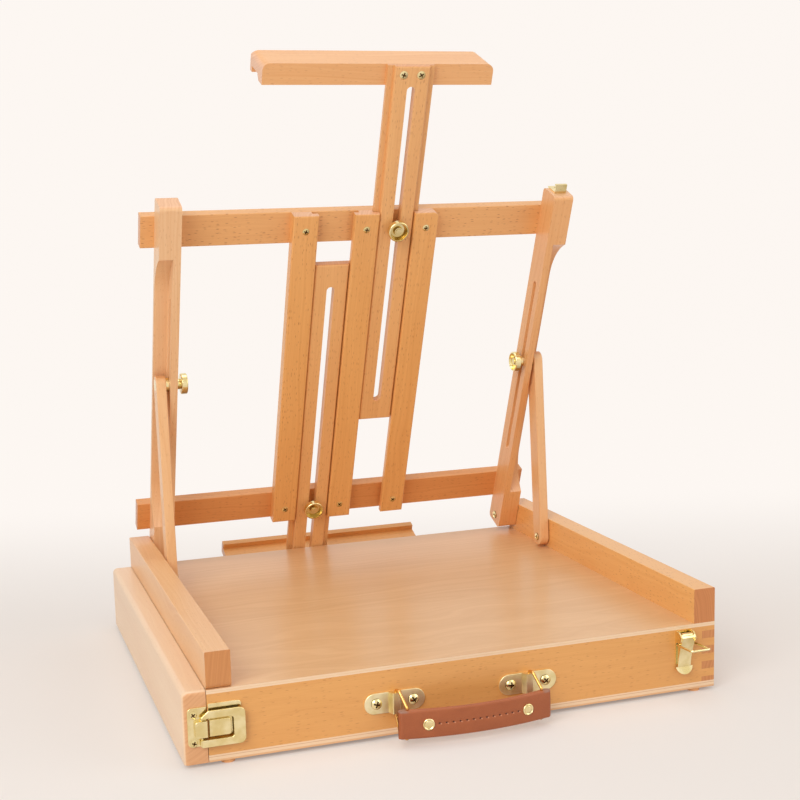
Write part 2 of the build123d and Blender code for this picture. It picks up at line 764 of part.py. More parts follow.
# Tilt clamp bolts with their spacers, which slide along the slots, and their knobs
spacer_outer = strut_inner - clamp_gap
knob_seat = upright_half - upright_width - clamp_gap
for side, name in ((-1, "left"), (1, "right")):
    clamp_axis = across(clamp_point.Y, clamp_point.Z, mid_x)
    inner_end = knob_seat - knob_height + knob_hub_drop - bolt_proud
    with BuildPart() as clamp_bolt:
        rod(clamp_axis, bolt_radius, *sorted((side * spacer_outer, side * inner_end)))
        rod(clamp_axis, spacer_radius, *sorted((side * spacer_outer, side * (web_outer + clamp_gap))))
    clamp_bolt.part.label = f"{name}_clamp_bolt"
    export_step(clamp_bolt.part, f"parts/{name}_clamp_bolt.step")

    knob_foot = (mid_x + side * knob_seat, clamp_point.Y, clamp_point.Z)
    tilt_knob = knob_on(Plane(origin=knob_foot, x_dir=(0, 1, 0), z_dir=(-side, 0, 0)))
    tilt_knob.label = f"{name}_tilt_knob"
    export_step(tilt_knob, f"parts/{name}_tilt_knob.step")

# Brass hook on the end of the right upright, which the draw latch pulls on
with BuildPart(frame_plane) as hook_blank:
    span = (hook_x - hook_width / 2, hook_x + hook_width / 2)
    top = upright_length + hook_reach
    plate_n = (-half_depth + hook_back_inset, hook_front)
    brick(span, (upright_length, upright_length + hook_plate), plate_n)
    brick(span, (upright_length, top), (hook_front - hook_plate, hook_front))
    brick(span, (top - hook_plate, top), (hook_front - hook_curl, hook_front))
with BuildPart() as latch_hook:
    add(hook_blank.part)
    screw_set(hook_screw_spots, hook_screw, Mode.SUBTRACT, False)
latch_hook.part.label = "latch_hook"
export_step(latch_hook.part, "parts/latch_hook.step")

with BuildPart() as latch_hook_screw:
    screw_set(hook_screw_spots, hook_screw)
latch_hook_screw.part.label = "latch_hook_screw"
export_step(latch_hook_screw.part, "parts/latch_hook_screw.step")


def on_face(x, y, z):
    """Spans counted from the seam, out from the front face and up from the bottom board's underside."""
    return (
        (seam_x + x[0], seam_x + x[1]),
        (face_y - y[1], face_y - y[0]),
        (z_low + z[0], z_low + z[1]),
    )


# Draw latch: base with two ears and a rolled pin, lever and wire bail
with BuildPart() as draw_latch_base:
    half = latch_width / 2
    brick(*on_face((latch_x - half, latch_x + half), (0, latch_plate), (latch_low, latch_high)))
    for side in (-1, 1):
        ear = tuple(sorted((latch_x + side * half, latch_x + side * (half - latch_plate))))
        with BuildSketch(across(0, 0, seam_x + ear[0])):
            with BuildLine():
                Polyline(
                    (face_y, z_low + latch_high),
                    (face_y - latch_ear_depth + latch_ear_cut, z_low + latch_high),
                    (face_y - latch_ear_depth, z_low + latch_high - latch_ear_cut),
                    (face_y - latch_ear_depth + latch_ear_taper, z_low + latch_ear_low),
                    (face_y, z_low + latch_ear_low - latch_ear_foot),
                    close=True,
                )
            make_face()
        extrude(amount=latch_plate)
    latch_pin = across(face_y - latch_pin_y, z_low + latch_pin_z, seam_x + latch_x)
    rod(latch_pin, latch_pin_radius, -half, half)
    roll = lever_width / 2 - lever_skin - latch_roll_play
    rod(latch_pin, latch_roll_radius, -roll, roll)
    screw_set(latch_screw_spots, catch_screw, Mode.SUBTRACT, False)
draw_latch_base.part.label = "draw_latch_base"
export_step(draw_latch_base.part, "parts/draw_latch_base.step")

with BuildPart() as draw_latch_screws:
    screw_set(latch_screw_spots, catch_screw)
draw_latch_screws.part.label = "draw_latch_screws"
export_step(draw_latch_screws.part, "parts/draw_latch_screws.step")

# Lever: a bent channel, its web proud at the pin and close to the box at the end, with a round
# tongue that flares out to lift it by. Its two outlines are heights measured from the pin and how
# far each point stands out from the box
lever_end = (lever_end_z - latch_pin_z, lever_end_y)
lever_outer = [(-0.7, 9.4), (-9.6, 6.2), (-17.6, 3.9), lever_end]
lever_back = [(1.3, 8.0), (2.3, 3.2), (-11.6, 1.4), (lever_end[0], 1.4)]
lever_x = seam_x + latch_x - lever_width / 2
pin_z = z_low + latch_pin_z
tongue_plane = Plane(
    origin=(seam_x + latch_x, face_y - lever_end_y + lever_skin, z_low + lever_end_z + tongue_lap),
    x_dir=(1, 0, 0),
    z_dir=(0, -cos(radians(tongue_flare)), sin(radians(tongue_flare))),
)
with BuildPart() as draw_latch_lever:
    with BuildSketch(across(0, 0, lever_x)):
        with BuildLine():
            face = Spline(*[(face_y - y, pin_z + z) for z, y in lever_outer])
            Polyline(face @ 0, *[(face_y - y, pin_z + z) for z, y in lever_back], face @ 1)
        make_face()
    extrude(amount=lever_width)
    with BuildSketch(across(0, 0, lever_x + lever_skin)):
        with BuildLine():
            face = Spline(*[(face_y - y + lever_skin, pin_z + z) for z, y in lever_outer])
            behind = face_y + latch_plate
            over = (face @ 0).Y + lever_width
            Polyline(face @ 0, ((face @ 0).X, over), (behind, over), (behind, (face @ 1).Y), face @ 1)
        make_face()
    extrude(amount=lever_width - 2 * lever_skin, mode=Mode.SUBTRACT)
    rod(latch_pin, latch_pin_radius + running_play, -lever_width, lever_width, Mode.SUBTRACT)
    bail_pivot = across(face_y - bail_y, z_low + bail_z, seam_x + latch_x)
    rod(bail_pivot, bail_wire + running_play, -lever_width, lever_width, Mode.SUBTRACT)
    with BuildSketch(tongue_plane):
        with Locations((0, tongue_radius - tongue_length)):
            Circle(tongue_radius)
        with Locations((0, tongue_radius)):
            Rectangle(4 * tongue_radius, 2 * tongue_radius, mode=Mode.SUBTRACT)
    extrude(amount=lever_skin)
draw_latch_lever.part.label = "draw_latch_lever"
export_step(draw_latch_lever.part, "parts/draw_latch_lever.step")

# Bail: one bent wire, its ends turned in through the lever's cheeks
bail_plane = Plane(
    origin=(seam_x + latch_x, face_y - bail_y, z_low + bail_z),
    x_dir=(1, 0, 0),
    z_dir=(0, sin(radians(bail_rise)), cos(radians(bail_rise))),
)
with BuildPart() as draw_latch_bail:
    half = bail_width / 2
    end = lever_width / 2 - lever_skin - bail_end_play
    with BuildLine(bail_plane) as route:
        FilletPolyline(
            (-end, 0),
            (-half, 0),
            (-half, -bail_length),
            (half, -bail_length),
            (half, 0),
            (end, 0),
            radius=2 * bail_wire,
        )
    wire = route.wires()[0]
    with BuildSketch(Plane(origin=wire @ 0, z_dir=wire % 0)):
        Circle(bail_wire)
    sweep(path=wire)
draw_latch_bail.part.label = "draw_latch_bail"
export_step(draw_latch_bail.part, "parts/draw_latch_bail.step")

# Drawer catch: base plate and pad on the drawer front, hasp on it, keeper on the front panel
with BuildPart() as drawer_latch_keeper:
    with BuildSketch(front_spot(0, 0)) as plate:
        with Locations(((catch_seam + keeper_right) / 2, (keeper_low + keeper_high) / 2)):
            Rectangle(keeper_right - catch_seam, keeper_high - keeper_low)
        fillet(plate.vertices().sort_by(Axis.X)[-2:], catch_corner)
    extrude(amount=catch_plate)
    fillet(drawer_latch_keeper.faces().sort_by(Axis.Y)[0].edges(), catch_plate_edge)
    with BuildSketch(front_spot(0, 0)) as pad:
        with Locations(((catch_seam + catch_pad_right) / 2, (catch_pad_low + catch_pad_high) / 2)):
            Rectangle(catch_pad_right - catch_seam, catch_pad_high - catch_pad_low)
        fillet(pad.vertices().sort_by(Axis.X)[-2:], catch_pad_corner)
    extrude(amount=hasp_back - slide_gap)
    fillet(drawer_latch_keeper.faces().sort_by(Axis.Y)[0].edges(), catch_pad_edge)
    screw_set(keeper_screw_spots, catch_screw, Mode.SUBTRACT, False)
drawer_latch_keeper.part.label = "drawer_latch_keeper"
export_step(drawer_latch_keeper.part, "parts/drawer_latch_keeper.step")

with BuildPart() as drawer_latch_keeper_screws:
    screw_set(keeper_screw_spots, catch_screw)
drawer_latch_keeper_screws.part.label = "drawer_latch_keeper_screws"
export_step(drawer_latch_keeper_screws.part, "parts/drawer_latch_keeper_screws.step")

hasp_axis = Plane(origin=(seam_x + hasp_pin_x, face_y - hasp_pin_y, z_low), z_dir=(0, 0, 1))
base_high = catch_high + catch_base_over
with BuildPart() as drawer_latch_base:
    with BuildSketch(front_spot(0, 0)) as plate:
        with Locations(((catch_left - catch_seam) / 2, (catch_low + base_high) / 2)):
            Rectangle(-catch_seam - catch_left, base_high - catch_low)
        fillet(plate.vertices().sort_by(Axis.X)[:2], catch_corner)
    extrude(amount=catch_plate)
    fillet(drawer_latch_base.faces().sort_by(Axis.Y)[0].edges(), catch_plate_edge)
    with BuildSketch(front_spot(0, 0)) as pad:
        with Locations(((catch_pad_left - catch_seam) / 2, (catch_pad_low + catch_pad_high) / 2)):
            Rectangle(-catch_seam - catch_pad_left, catch_pad_high - catch_pad_low)
        fillet(pad.vertices().sort_by(Axis.X)[:2], catch_pad_corner)
    extrude(amount=catch_pad_proud)
    fillet(drawer_latch_base.faces().sort_by(Axis.Y)[0].edges(), catch_pad_edge)
    rod(hasp_axis, hasp_pin_radius + running_play, 0, base_high, Mode.SUBTRACT)
    screw_set(catch_screw_spots, catch_screw, Mode.SUBTRACT, False)
drawer_latch_base.part.label = "drawer_latch_base"
export_step(drawer_latch_base.part, "parts/drawer_latch_base.step")

with BuildPart() as drawer_latch_screws:
    screw_set(catch_screw_spots, catch_screw)
drawer_latch_screws.part.label = "drawer_latch_screws"
export_step(drawer_latch_screws.part, "parts/drawer_latch_screws.step")

# Hasp: a rounded frame round the pads, hinged on a pin behind the left pad
window_low = catch_pad_low - hasp_window_play
window_high = catch_pad_high + hasp_window_play
window_right = catch_pad_right + hasp_window_play
hasp_left = hasp_pin_x - hasp_back_edge
with BuildPart() as drawer_latch_hasp:
    with BuildSketch(front_spot(0, 0, hasp_back)) as outline:
        with BuildLine():
            Polyline(
                (hasp_left, catch_low),
                (catch_right, catch_low),
                (catch_right, catch_high),
                (hasp_pin_x + hasp_slope_x, catch_high),
                (hasp_left, catch_high - hasp_slope_z),
                close=True,
            )
        make_face()
        fillet(outline.vertices().sort_by(Axis.X)[-2:], catch_corner + hasp_thick)
        open_left = hasp_left - catch_corner
        with Locations(((open_left + window_right) / 2, (window_low + window_high) / 2)):
            RectangleRounded(
                window_right - open_left, window_high - window_low, hasp_window_round, mode=Mode.SUBTRACT
            )
    extrude(amount=hasp_thick)
    fillet(drawer_latch_hasp.faces().sort_by(Axis.Y)[0].edges(), hasp_edge)
    pin_low, pin_high = catch_low + hasp_knuckle_low, catch_high - hasp_slope_z - hasp_knuckle_play
    rod(hasp_axis, hasp_knuckle_radius, pin_low, window_low - hasp_knuckle_play)
    rod(hasp_axis, hasp_knuckle_radius, window_high + hasp_knuckle_play, pin_high)
    rod(hasp_axis, hasp_pin_radius, pin_low, pin_high)
drawer_latch_hasp.part.label = "drawer_latch_hasp"
export_step(drawer_latch_hasp.part, "parts/drawer_latch_hasp.step")

# Handle plates with raised channels, and their screws
ring_y = face_y - handle_plate_thick - channel_proud / 2
with BuildPart() as handle_plates:
    for x in handle_xs:
        with BuildSketch(front_spot(x, handle_z)):
            SlotOverall(handle_plate_length, handle_plate_height)
        extrude(amount=handle_plate_thick)
    fillet(handle_plates.faces().group_by(Axis.Y)[0].edges(), handle_plate_edge)
    for x in handle_xs:
        low_z = z_low + handle_z - handle_plate_height / 2
        with BuildSketch(Plane(origin=(seam_x + x, face_y, low_z), z_dir=(0, 0, 1))):
            with BuildLine():
                Polyline(
                    (-channel_base / 2, -handle_plate_thick / 2),
                    (-channel_top / 2, -channel_proud - handle_plate_thick),
                    (channel_top / 2, -channel_proud - handle_plate_thick),
                    (channel_base / 2, -handle_plate_thick / 2),
                    close=True,
                )
            make_face()
        extrude(amount=handle_plate_height)
    fillet(handle_plates.edges().filter_by(Axis.Z).group_by(Axis.Y)[0], channel_round)
    for x in handle_xs:
        ring_axis = Plane(origin=(seam_x + x, ring_y, z_low), z_dir=(0, 0, 1))
        rod(ring_axis, ring_wire + running_play, 0, z_top, Mode.SUBTRACT)
    screw_set(handle_screw_spots, plate_screw, Mode.SUBTRACT, False)
handle_plates.part.label = "handle_plates"
export_step(handle_plates.part, "parts/handle_plates.step")

with BuildPart() as handle_plate_screws:
    screw_set(handle_screw_spots, plate_screw)
handle_plate_screws.part.label = "handle_plate_screws"
export_step(handle_plate_screws.part, "parts/handle_plate_screws.step")

# Handle rings: closed wire loops from the channel out to the leather
ring_way = Vector(sin(radians(ring_turn)), -cos(radians(ring_turn)), 0)
ring_out = ring_way * ring_reach
ring_high = handle_z + handle_plate_height / 2 + ring_over
ring_outer_low = grip_low - ring_under
ring_inner_low = handle_z - handle_plate_height / 2 - ring_below_plate
for x, name in zip(handle_xs, ("left", "right")):
    inner = Vector(seam_x + x, ring_y, z_low)
    with BuildPart() as ring:
        with BuildLine() as route:
            FilletPolyline(
                inner + Vector(0, 0, ring_high),
                inner + ring_way * ring_shoulder + Vector(0, 0, ring_high),
                inner + ring_out + Vector(0, 0, grip_low + grip_height + ring_above_grip),
                inner + ring_out + Vector(0, 0, ring_outer_low),
                inner + ring_way * ring_low_shoulder + Vector(0, 0, ring_outer_low),
                inner + Vector(0, 0, ring_inner_low),
                radius=ring_bend,
                close=True,
            )
        loop = route.wires()[0]
        with BuildSketch(Plane(origin=loop @ 0, z_dir=loop % 0)):
            Circle(ring_wire)
        sweep(path=loop)
    ring.part.label = f"{name}_handle_ring"
    export_step(ring.part, f"parts/{name}_handle_ring.step")

# Leather grip: a strap folded round the rings' outer sides, bowed out in the middle
grip_left = seam_x + handle_left_x + ring_out.X
grip_right = grip_left + handle_pitch
grip_y = ring_y + ring_out.Y
grip_mid = (grip_left + grip_right) / 2
half_thick = grip_thick / 2
rivet_xs = (grip_left - grip_end + rivet_inset, grip_right + grip_end - rivet_inset)
strap_run = (grip_right - grip_left) / 2 + grip_end - grip_fold_radius
front_bow = half_thick + grip_bow
back_bow = grip_bow - half_thick
rivet_share = ((rivet_xs[1] - grip_mid) / strap_run) ** 2
rivet_seat_y = grip_y - front_bow + (front_bow - grip_fold_radius) * rivet_share
rivet_back_y = grip_y - back_bow + (back_bow + grip_fold_radius) * rivet_share
rivet_lean = atan2(2 * (front_bow - grip_fold_radius) * rivet_share, rivet_xs[1] - grip_mid)
rivet_front = -rivet_sink / 2
rivet_back = (rivet_seat_y - rivet_back_y) * cos(rivet_lean) + rivet_sink
rivet_z = z_low + grip_low + grip_height / 2
rivet_spots = [
    Plane(
        origin=(x, rivet_seat_y, rivet_z),
        x_dir=(cos(rivet_lean), side * sin(rivet_lean), 0),
        z_dir=(side * sin(rivet_lean), -cos(rivet_lean), 0),
    )
    for x, side in zip(rivet_xs, (-1, 1))
]
fold_xs = (grip_left - grip_end + grip_fold_radius, grip_right + grip_end - grip_fold_radius)
front_ends = [(x, grip_y - grip_fold_radius) for x in fold_xs]
back_ends = [(x, grip_y + grip_fold_radius) for x in fold_xs]
with BuildPart() as leather_grip:
    with BuildSketch(Plane.XY.offset(z_low + grip_low)) as outline:
        with BuildLine():
            ThreePointArc(front_ends[0], (grip_mid, grip_y - front_bow), front_ends[1])
            ThreePointArc(front_ends[1], (grip_right + grip_end, grip_y), back_ends[1])
            ThreePointArc(back_ends[1], (grip_mid, grip_y - back_bow), back_ends[0])
            ThreePointArc(back_ends[0], (grip_left - grip_end, grip_y), front_ends[0])
        make_face()
    extrude(amount=grip_height)
    for x in (grip_left, grip_right):
        ring_hole = Plane(origin=(x, grip_y, z_low), z_dir=(0, 0, 1))
        rod(ring_hole, ring_wire + running_play, 0, z_top, Mode.SUBTRACT)
    for spot in rivet_spots:
        rod(spot, rivet_shank, rivet_back, rivet_front, Mode.SUBTRACT)
        rod(spot, rivet_radius, rivet_front, rivet_front + grip_thick, Mode.SUBTRACT)
        rod(spot, rivet_radius, rivet_back - grip_thick, rivet_back, Mode.SUBTRACT)
leather_grip.part.label = "leather_grip"
export_step(leather_grip.part, "parts/leather_grip.step")

with BuildPart() as handle_rivets:
    for spot in rivet_spots:
        rod(spot, rivet_shank, rivet_back, rivet_front)
        rod(spot, rivet_radius, rivet_front, rivet_front + rivet_height)
        rod(spot, rivet_radius, rivet_back - rivet_height, rivet_back)
    caps = rims(handle_rivets, rivet_radius).group_by(Axis.Y)
    fillet(caps[0] + caps[-1], rivet_round)
handle_rivets.part.label = "handle_rivets"
export_step(handle_rivets.part, "parts/handle_rivets.step")

# Drawer: its front closes the open left end of the box, and its tray slides on the bottom board
drawer_low = z_floor + drawer_rest
drawer_inner_low = drawer_low + drawer_base_thick
drawer_x = (seam_x - front_gap, right_wall[0] - drawer_end_gap)
drawer_y = (front_wall[1] + drawer_play, rear_wall[0] - drawer_play)
tray_top = drawer_inner_low + drawer_side_height
with BuildPart() as drawer_front:
    brick((seam_x - front_thick, seam_x - front_gap), all_y, (z_low, z_top))
    outer = drawer_front.faces().sort_by(Axis.X)[0]
    fillet(outer.edges().sort_by(Axis.Z)[-1], rail_nose)
    fillet(drawer_front.edges().filter_by(Axis.Z).group_by(Axis.X)[0], catch_corner)
    screw_set(catch_screw_spots, catch_screw, Mode.SUBTRACT, False)
drawer_front.part.label = "drawer_front"
export_step(drawer_front.part, "parts/drawer_front.step")

for wall_y, name in (
    ((drawer_y[0], drawer_y[0] + drawer_wall), "drawer_near_side"),
    ((drawer_y[1] - drawer_wall, drawer_y[1]), "drawer_far_side"),
):
    with BuildPart() as drawer_side:
        brick(drawer_x, wall_y, (drawer_inner_low, tray_top))
        fillet(drawer_side.edges().filter_by(Axis.X).group_by(Axis.Z)[-1], wood_ease)
    drawer_side.part.label = name
    export_step(drawer_side.part, f"parts/{name}.step")

inside_y = (drawer_y[0] + drawer_wall, drawer_y[1] - drawer_wall)
inside_x = (drawer_x[0], drawer_x[1] - drawer_wall)
with BuildPart() as drawer_back:
    brick((inside_x[1], drawer_x[1]), inside_y, (drawer_inner_low, tray_top))
    fillet(drawer_back.edges().filter_by(Axis.Y).group_by(Axis.Z)[-1], wood_ease)
drawer_back.part.label = "drawer_back"
export_step(drawer_back.part, "parts/drawer_back.step")

with BuildPart() as drawer_bottom:
    brick(drawer_x, drawer_y, (drawer_low, drawer_inner_low))
drawer_bottom.part.label = "drawer_bottom"
export_step(drawer_bottom.part, "parts/drawer_bottom.step")

# Dividers: one along the drawer and two across the wider part, halved into one piece
with BuildPart() as drawer_dividers:
    long_y = inside_y[0] + long_divider_share * (inside_y[1] - inside_y[0])
    divider_z = (drawer_inner_low, drawer_inner_low + divider_height)
    brick(inside_x, (long_y, long_y + divider_thick), divider_z)
    for share in cross_divider_shares:
        cross_x = inside_x[0] + share * (inside_x[1] - inside_x[0])
        brick((cross_x, cross_x + divider_thick), (long_y + divider_thick, inside_y[1]), divider_z)
drawer_dividers.part.label = "drawer_dividers"
export_step(drawer_dividers.part, "parts/drawer_dividers.step")
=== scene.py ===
"""Looks for the table box easel: lacquered beech, brass fittings and a leather grip, on a pale studio floor.

Sizes in the functions are millimetres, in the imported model's own frame. Meshes are written in metres.
"""

from math import cos, pi, radians, sin

import bmesh
import bpy
import numpy as np
from mathutils import Matrix, Vector


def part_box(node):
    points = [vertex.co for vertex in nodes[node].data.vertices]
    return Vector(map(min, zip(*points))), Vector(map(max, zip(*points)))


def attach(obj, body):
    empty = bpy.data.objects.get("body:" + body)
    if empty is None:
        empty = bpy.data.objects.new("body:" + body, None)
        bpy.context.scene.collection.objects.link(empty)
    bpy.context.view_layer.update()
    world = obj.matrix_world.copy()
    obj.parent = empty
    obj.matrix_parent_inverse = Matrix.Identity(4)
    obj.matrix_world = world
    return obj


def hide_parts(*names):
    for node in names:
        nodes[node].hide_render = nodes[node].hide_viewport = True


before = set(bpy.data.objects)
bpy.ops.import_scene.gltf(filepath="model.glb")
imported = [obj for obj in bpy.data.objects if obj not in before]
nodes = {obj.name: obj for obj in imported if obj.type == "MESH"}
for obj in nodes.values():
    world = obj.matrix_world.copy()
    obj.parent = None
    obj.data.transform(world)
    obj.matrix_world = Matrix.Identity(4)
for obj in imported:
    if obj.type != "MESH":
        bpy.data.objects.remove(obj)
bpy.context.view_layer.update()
MM = 0.001

# Places read from the frame, in millimetres
seam_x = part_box("front_panel")[0].x / MM
right_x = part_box("front_panel")[1].x / MM
face_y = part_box("front_panel")[0].y / MM
rear_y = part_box("rear_panel")[1].y / MM
base_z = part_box("bottom_board")[0].z / MM
table_top_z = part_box("top_board")[1].z / MM

# The frame's directions: up along the uprights, and out of the face that looks over the box
tilt = radians(67.44)
frame_up = np.array((0.0, -cos(tilt), sin(tilt)))
frame_face = np.array((0.0, -sin(tilt), -cos(tilt)))
across = np.array((1.0, 0.0, 0.0))
upward = np.array((0.0, 0.0, 1.0))
outward = np.array((0.0, -1.0, 0.0))


# Meshes


def on_front(x, z, out):
    """Points counted from the drawer's seam, up from the box's underside and out from the front face."""
    x, z, out = np.broadcast_arrays(np.asarray(x, float), z, out)
    return np.stack((seam_x + x, face_y - out, base_z + z), axis=-1)


def grid_quads(rows, columns, ring_rows=False, ring_columns=False):
    """Corner numbers of the quads between neighbouring points of a grid that may close on itself."""
    i = np.arange(rows if ring_rows else rows - 1)
    j = np.arange(columns if ring_columns else columns - 1)
    a, b = np.meshgrid(i, j, indexing="ij")
    a, b = a.ravel(), b.ravel()
    c, d = (a + 1) % rows, (b + 1) % columns
    return np.stack((a * columns + b, c * columns + b, c * columns + d, a * columns + d), axis=1)


def make_piece(name, parts, body, material, replaces=(), shade_marks=None, sharp=38.0):
    """One object from grids of points, each (points, closes in rows, closes in columns), welded and facing out.
    Shade marks, one number a point, give how much painted shade a point takes in a recess or at a contact, from 0 to
    1."""
    points, faces, start = [], [], 0
    for grid, ring_rows, ring_columns in parts:
        grid = np.asarray(grid, float)
        rows, columns = grid.shape[:2]
        faces.append(grid_quads(rows, columns, ring_rows, ring_columns) + start)
        points.append(grid.reshape(-1, 3))
        start += rows * columns
    mesh = bpy.data.meshes.new(name)
    mesh.from_pydata((np.concatenate(points) * MM).tolist(), [], np.concatenate(faces).tolist())
    # A point attribute for the painted shade in recesses and at contacts
    if shade_marks is not None:
        recess_shade = mesh.attributes.new("recess_shade", "FLOAT", "POINT")
        recess_shade.data.foreach_set("value", np.concatenate([shade_mark.ravel() for shade_mark in shade_marks]))
    shell = bmesh.new()
    shell.from_mesh(mesh)
    bmesh.ops.remove_doubles(shell, verts=shell.verts, dist=2e-6)
    bmesh.ops.dissolve_degenerate(shell, edges=shell.edges, dist=1e-7)
    bmesh.ops.recalc_face_normals(shell, faces=shell.faces)
    shell.to_mesh(mesh)
    shell.free()
    mesh.polygons.foreach_set("use_smooth", np.ones(len(mesh.polygons), bool))
    mesh.set_sharp_from_angle(angle=radians(sharp))
    mesh.materials.append(material)
    piece = bpy.data.objects.new(name, mesh)
    bpy.context.scene.collection.objects.link(piece)
    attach(piece, body)
    if replaces:
        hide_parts(*replaces)
    return piece


def turned_points(origin, axis, radius, turn, height):
    """Points round an axis: at a radius and a turn about it, and at a height along it."""
    axis = np.asarray(axis, float) / np.linalg.norm(axis)
    side = np.cross(axis, across if abs(axis[0]) < 0.9 else upward)
    side /= np.linalg.norm(side)
    ring = np.cos(turn)[..., None] * side + np.sin(turn)[..., None] * np.cross(axis, side)
    return np.asarray(origin) + radius[..., None] * ring + height[..., None] * axis


def lathe(profile, origin, axis, segments):
    """A profile of (radius, height) points turned about an axis: each point goes round a circle at its height."""
    turn = np.linspace(0, 2 * pi, segments, endpoint=False)
    return turned_points(origin, axis, profile[:, :1] * np.ones_like(turn), turn, profile[:, 1:])


def screw_dome(origin, axis, radius, dome, rim, turned):
    """A screw head and its painted shade: height over a disc, a rim and a dome less a cross whose arms fade out
    towards the rim. The shade mark paints shade in the cross and a painted contact shadow round the rim's foot."""
    cross_reach, cross_depth, arm_half, arm_fade, tip_fade = 0.62, 0.9, 0.15, 0.05, 0.08
    share = np.concatenate((np.linspace(0, 0.92, 26), [0.97, 1.0, 1.0]))[:, None]
    turn = np.linspace(0, 2 * pi, 64, endpoint=False)[None, :]
    u, v = share * np.cos(turn + turned), share * np.sin(turn + turned)
    arm = np.minimum(np.abs(u), np.abs(v))
    reach = np.maximum(np.abs(u), np.abs(v))
    inside = np.clip((arm_half - arm) / arm_fade, 0, 1) * np.clip((cross_reach - reach) / tip_fade, 0, 1)
    height = rim + dome * (1 - share**2) - cross_depth * inside
    height[-2] = rim * 0.85
    height[-1] = -0.05
    # Painted shade in the cross and a painted contact shadow round the rim's foot
    shade_mark = inside + np.clip((share - 0.975) / 0.02, 0, 1) * 0.8
    return turned_points(origin, axis, radius * share, turn, height), np.clip(shade_mark, 0, 1)


# Materials


def tone(red, green, blue):
    """A display colour from 0 to 255 as the linear colour that a shader takes."""
    share = np.array((red, green, blue), float) / 255
    linear = np.where(share <= 0.04045, share / 12.92, ((share + 0.055) / 1.055) ** 2.4)
    return (*linear.tolist(), 1.0)


def add_node(tree, kind, feeds=None, **settings):
    """One node with its settings, its sockets fed by numbers or by other nodes' outputs."""
    made = tree.nodes.new(kind)
    for key, value in settings.items():
        setattr(made, key, value)
    for key, value in (feeds or {}).items():
        if isinstance(value, bpy.types.NodeSocket):
            tree.links.new(value, made.inputs[key])
        else:
            made.inputs[key].default_value = value
    return made


def work(tree, operation, *values):
    """The result of one arithmetic node."""
    return add_node(tree, "ShaderNodeMath", dict(enumerate(values)), operation=operation).outputs[0]


def product(tree, first, *others):
    """Values multiplied together."""
    for value in others:
        first = work(tree, "MULTIPLY", first, value)
    return first


def off_step(tree, value):
    """How far a value lies from the nearest whole number."""
    return work(tree, "ABSOLUTE", work(tree, "SUBTRACT", value, work(tree, "ROUND", value)))


def span(tree, value, low, high, to_low=0.0, to_high=1.0):
    """A value carried from one range to another with soft ends."""
    feeds = {"Value": value, "From Min": low, "From Max": high, "To Min": to_low, "To Max": to_high}
    return add_node(tree, "ShaderNodeMapRange", feeds, interpolation_type="SMOOTHSTEP").outputs[0]


def vector_work(tree, operation, output, *vectors):
    """The result of one vector node."""
    return add_node(tree, "ShaderNodeVectorMath", dict(enumerate(vectors)), operation=operation).outputs[output]


def stretched(tree, vector, scale):
    """A vector multiplied along each of its own directions."""
    return vector_work(tree, "MULTIPLY", "Vector", vector, scale)


def split(tree, vector):
    """The three numbers of a vector."""
    return add_node(tree, "ShaderNodeSeparateXYZ", {0: vector}).outputs


def object_place(tree):
    """Where a point lies on its own object, in metres."""
    return add_node(tree, "ShaderNodeTexCoord").outputs["Object"]


def surface_way(tree):
    """The way out of the surface, in the object's own directions."""
    return add_node(tree, "ShaderNodeTexCoord").outputs["Normal"]


def noise(tree, vector, detail=2.0, roughness=0.5):
    """A soft random value from 0 to 1, whose features are about one unit of the vector."""
    feeds = {"Vector": vector, "Scale": 1.0, "Detail": detail, "Roughness": roughness}
    return add_node(tree, "ShaderNodeTexNoise", feeds).outputs[0]


def mix(tree, share, first, second, blend="MIX"):
    """Two colours mixed by a share."""
    made = add_node(tree, "ShaderNodeMix", data_type="RGBA", blend_type=blend)
    for number, value in ((0, share), (6, first), (7, second)):
        if isinstance(value, bpy.types.NodeSocket):
            tree.links.new(value, made.inputs[number])
        else:
            made.inputs[number].default_value = value
    return made.outputs[2]


def new_material(name, **shader_values):
    """A material with its plain shader values set on the shader's own sockets."""
    material = bpy.data.materials.new(name)
    material.use_nodes = True
    shader = material.node_tree.nodes["Principled BSDF"]
    for key, value in shader_values.items():
        shader.inputs[key.replace("_", " ")].default_value = value
    return material, material.node_tree, shader


def grain_vector(tree, along, face, seed):
    """Millimetres along the grain, across it and out of the face, moved by a seed so that no two pieces match."""
    along, face = Vector(along).normalized(), Vector(face).normalized()
    feeds = {
        "Vector": object_place(tree),
        "Scale": (1 / MM, 1 / MM, 1 / MM),
        "Rotation": Matrix((along, face.cross(along), face)).to_euler(),
        "Location": (seed * 37.3, seed * 3.1, seed * 5.7),
    }
    return add_node(tree, "ShaderNodeMapping", feeds, vector_type="POINT").outputs[0]


def facing(tree, direction):
    """How squarely the surface looks along a direction, either way: 1 straight on, 0 side on."""
    return work(tree, "ABSOLUTE", vector_work(tree, "DOT_PRODUCT", "Value", surface_way(tree), tuple(direction)))


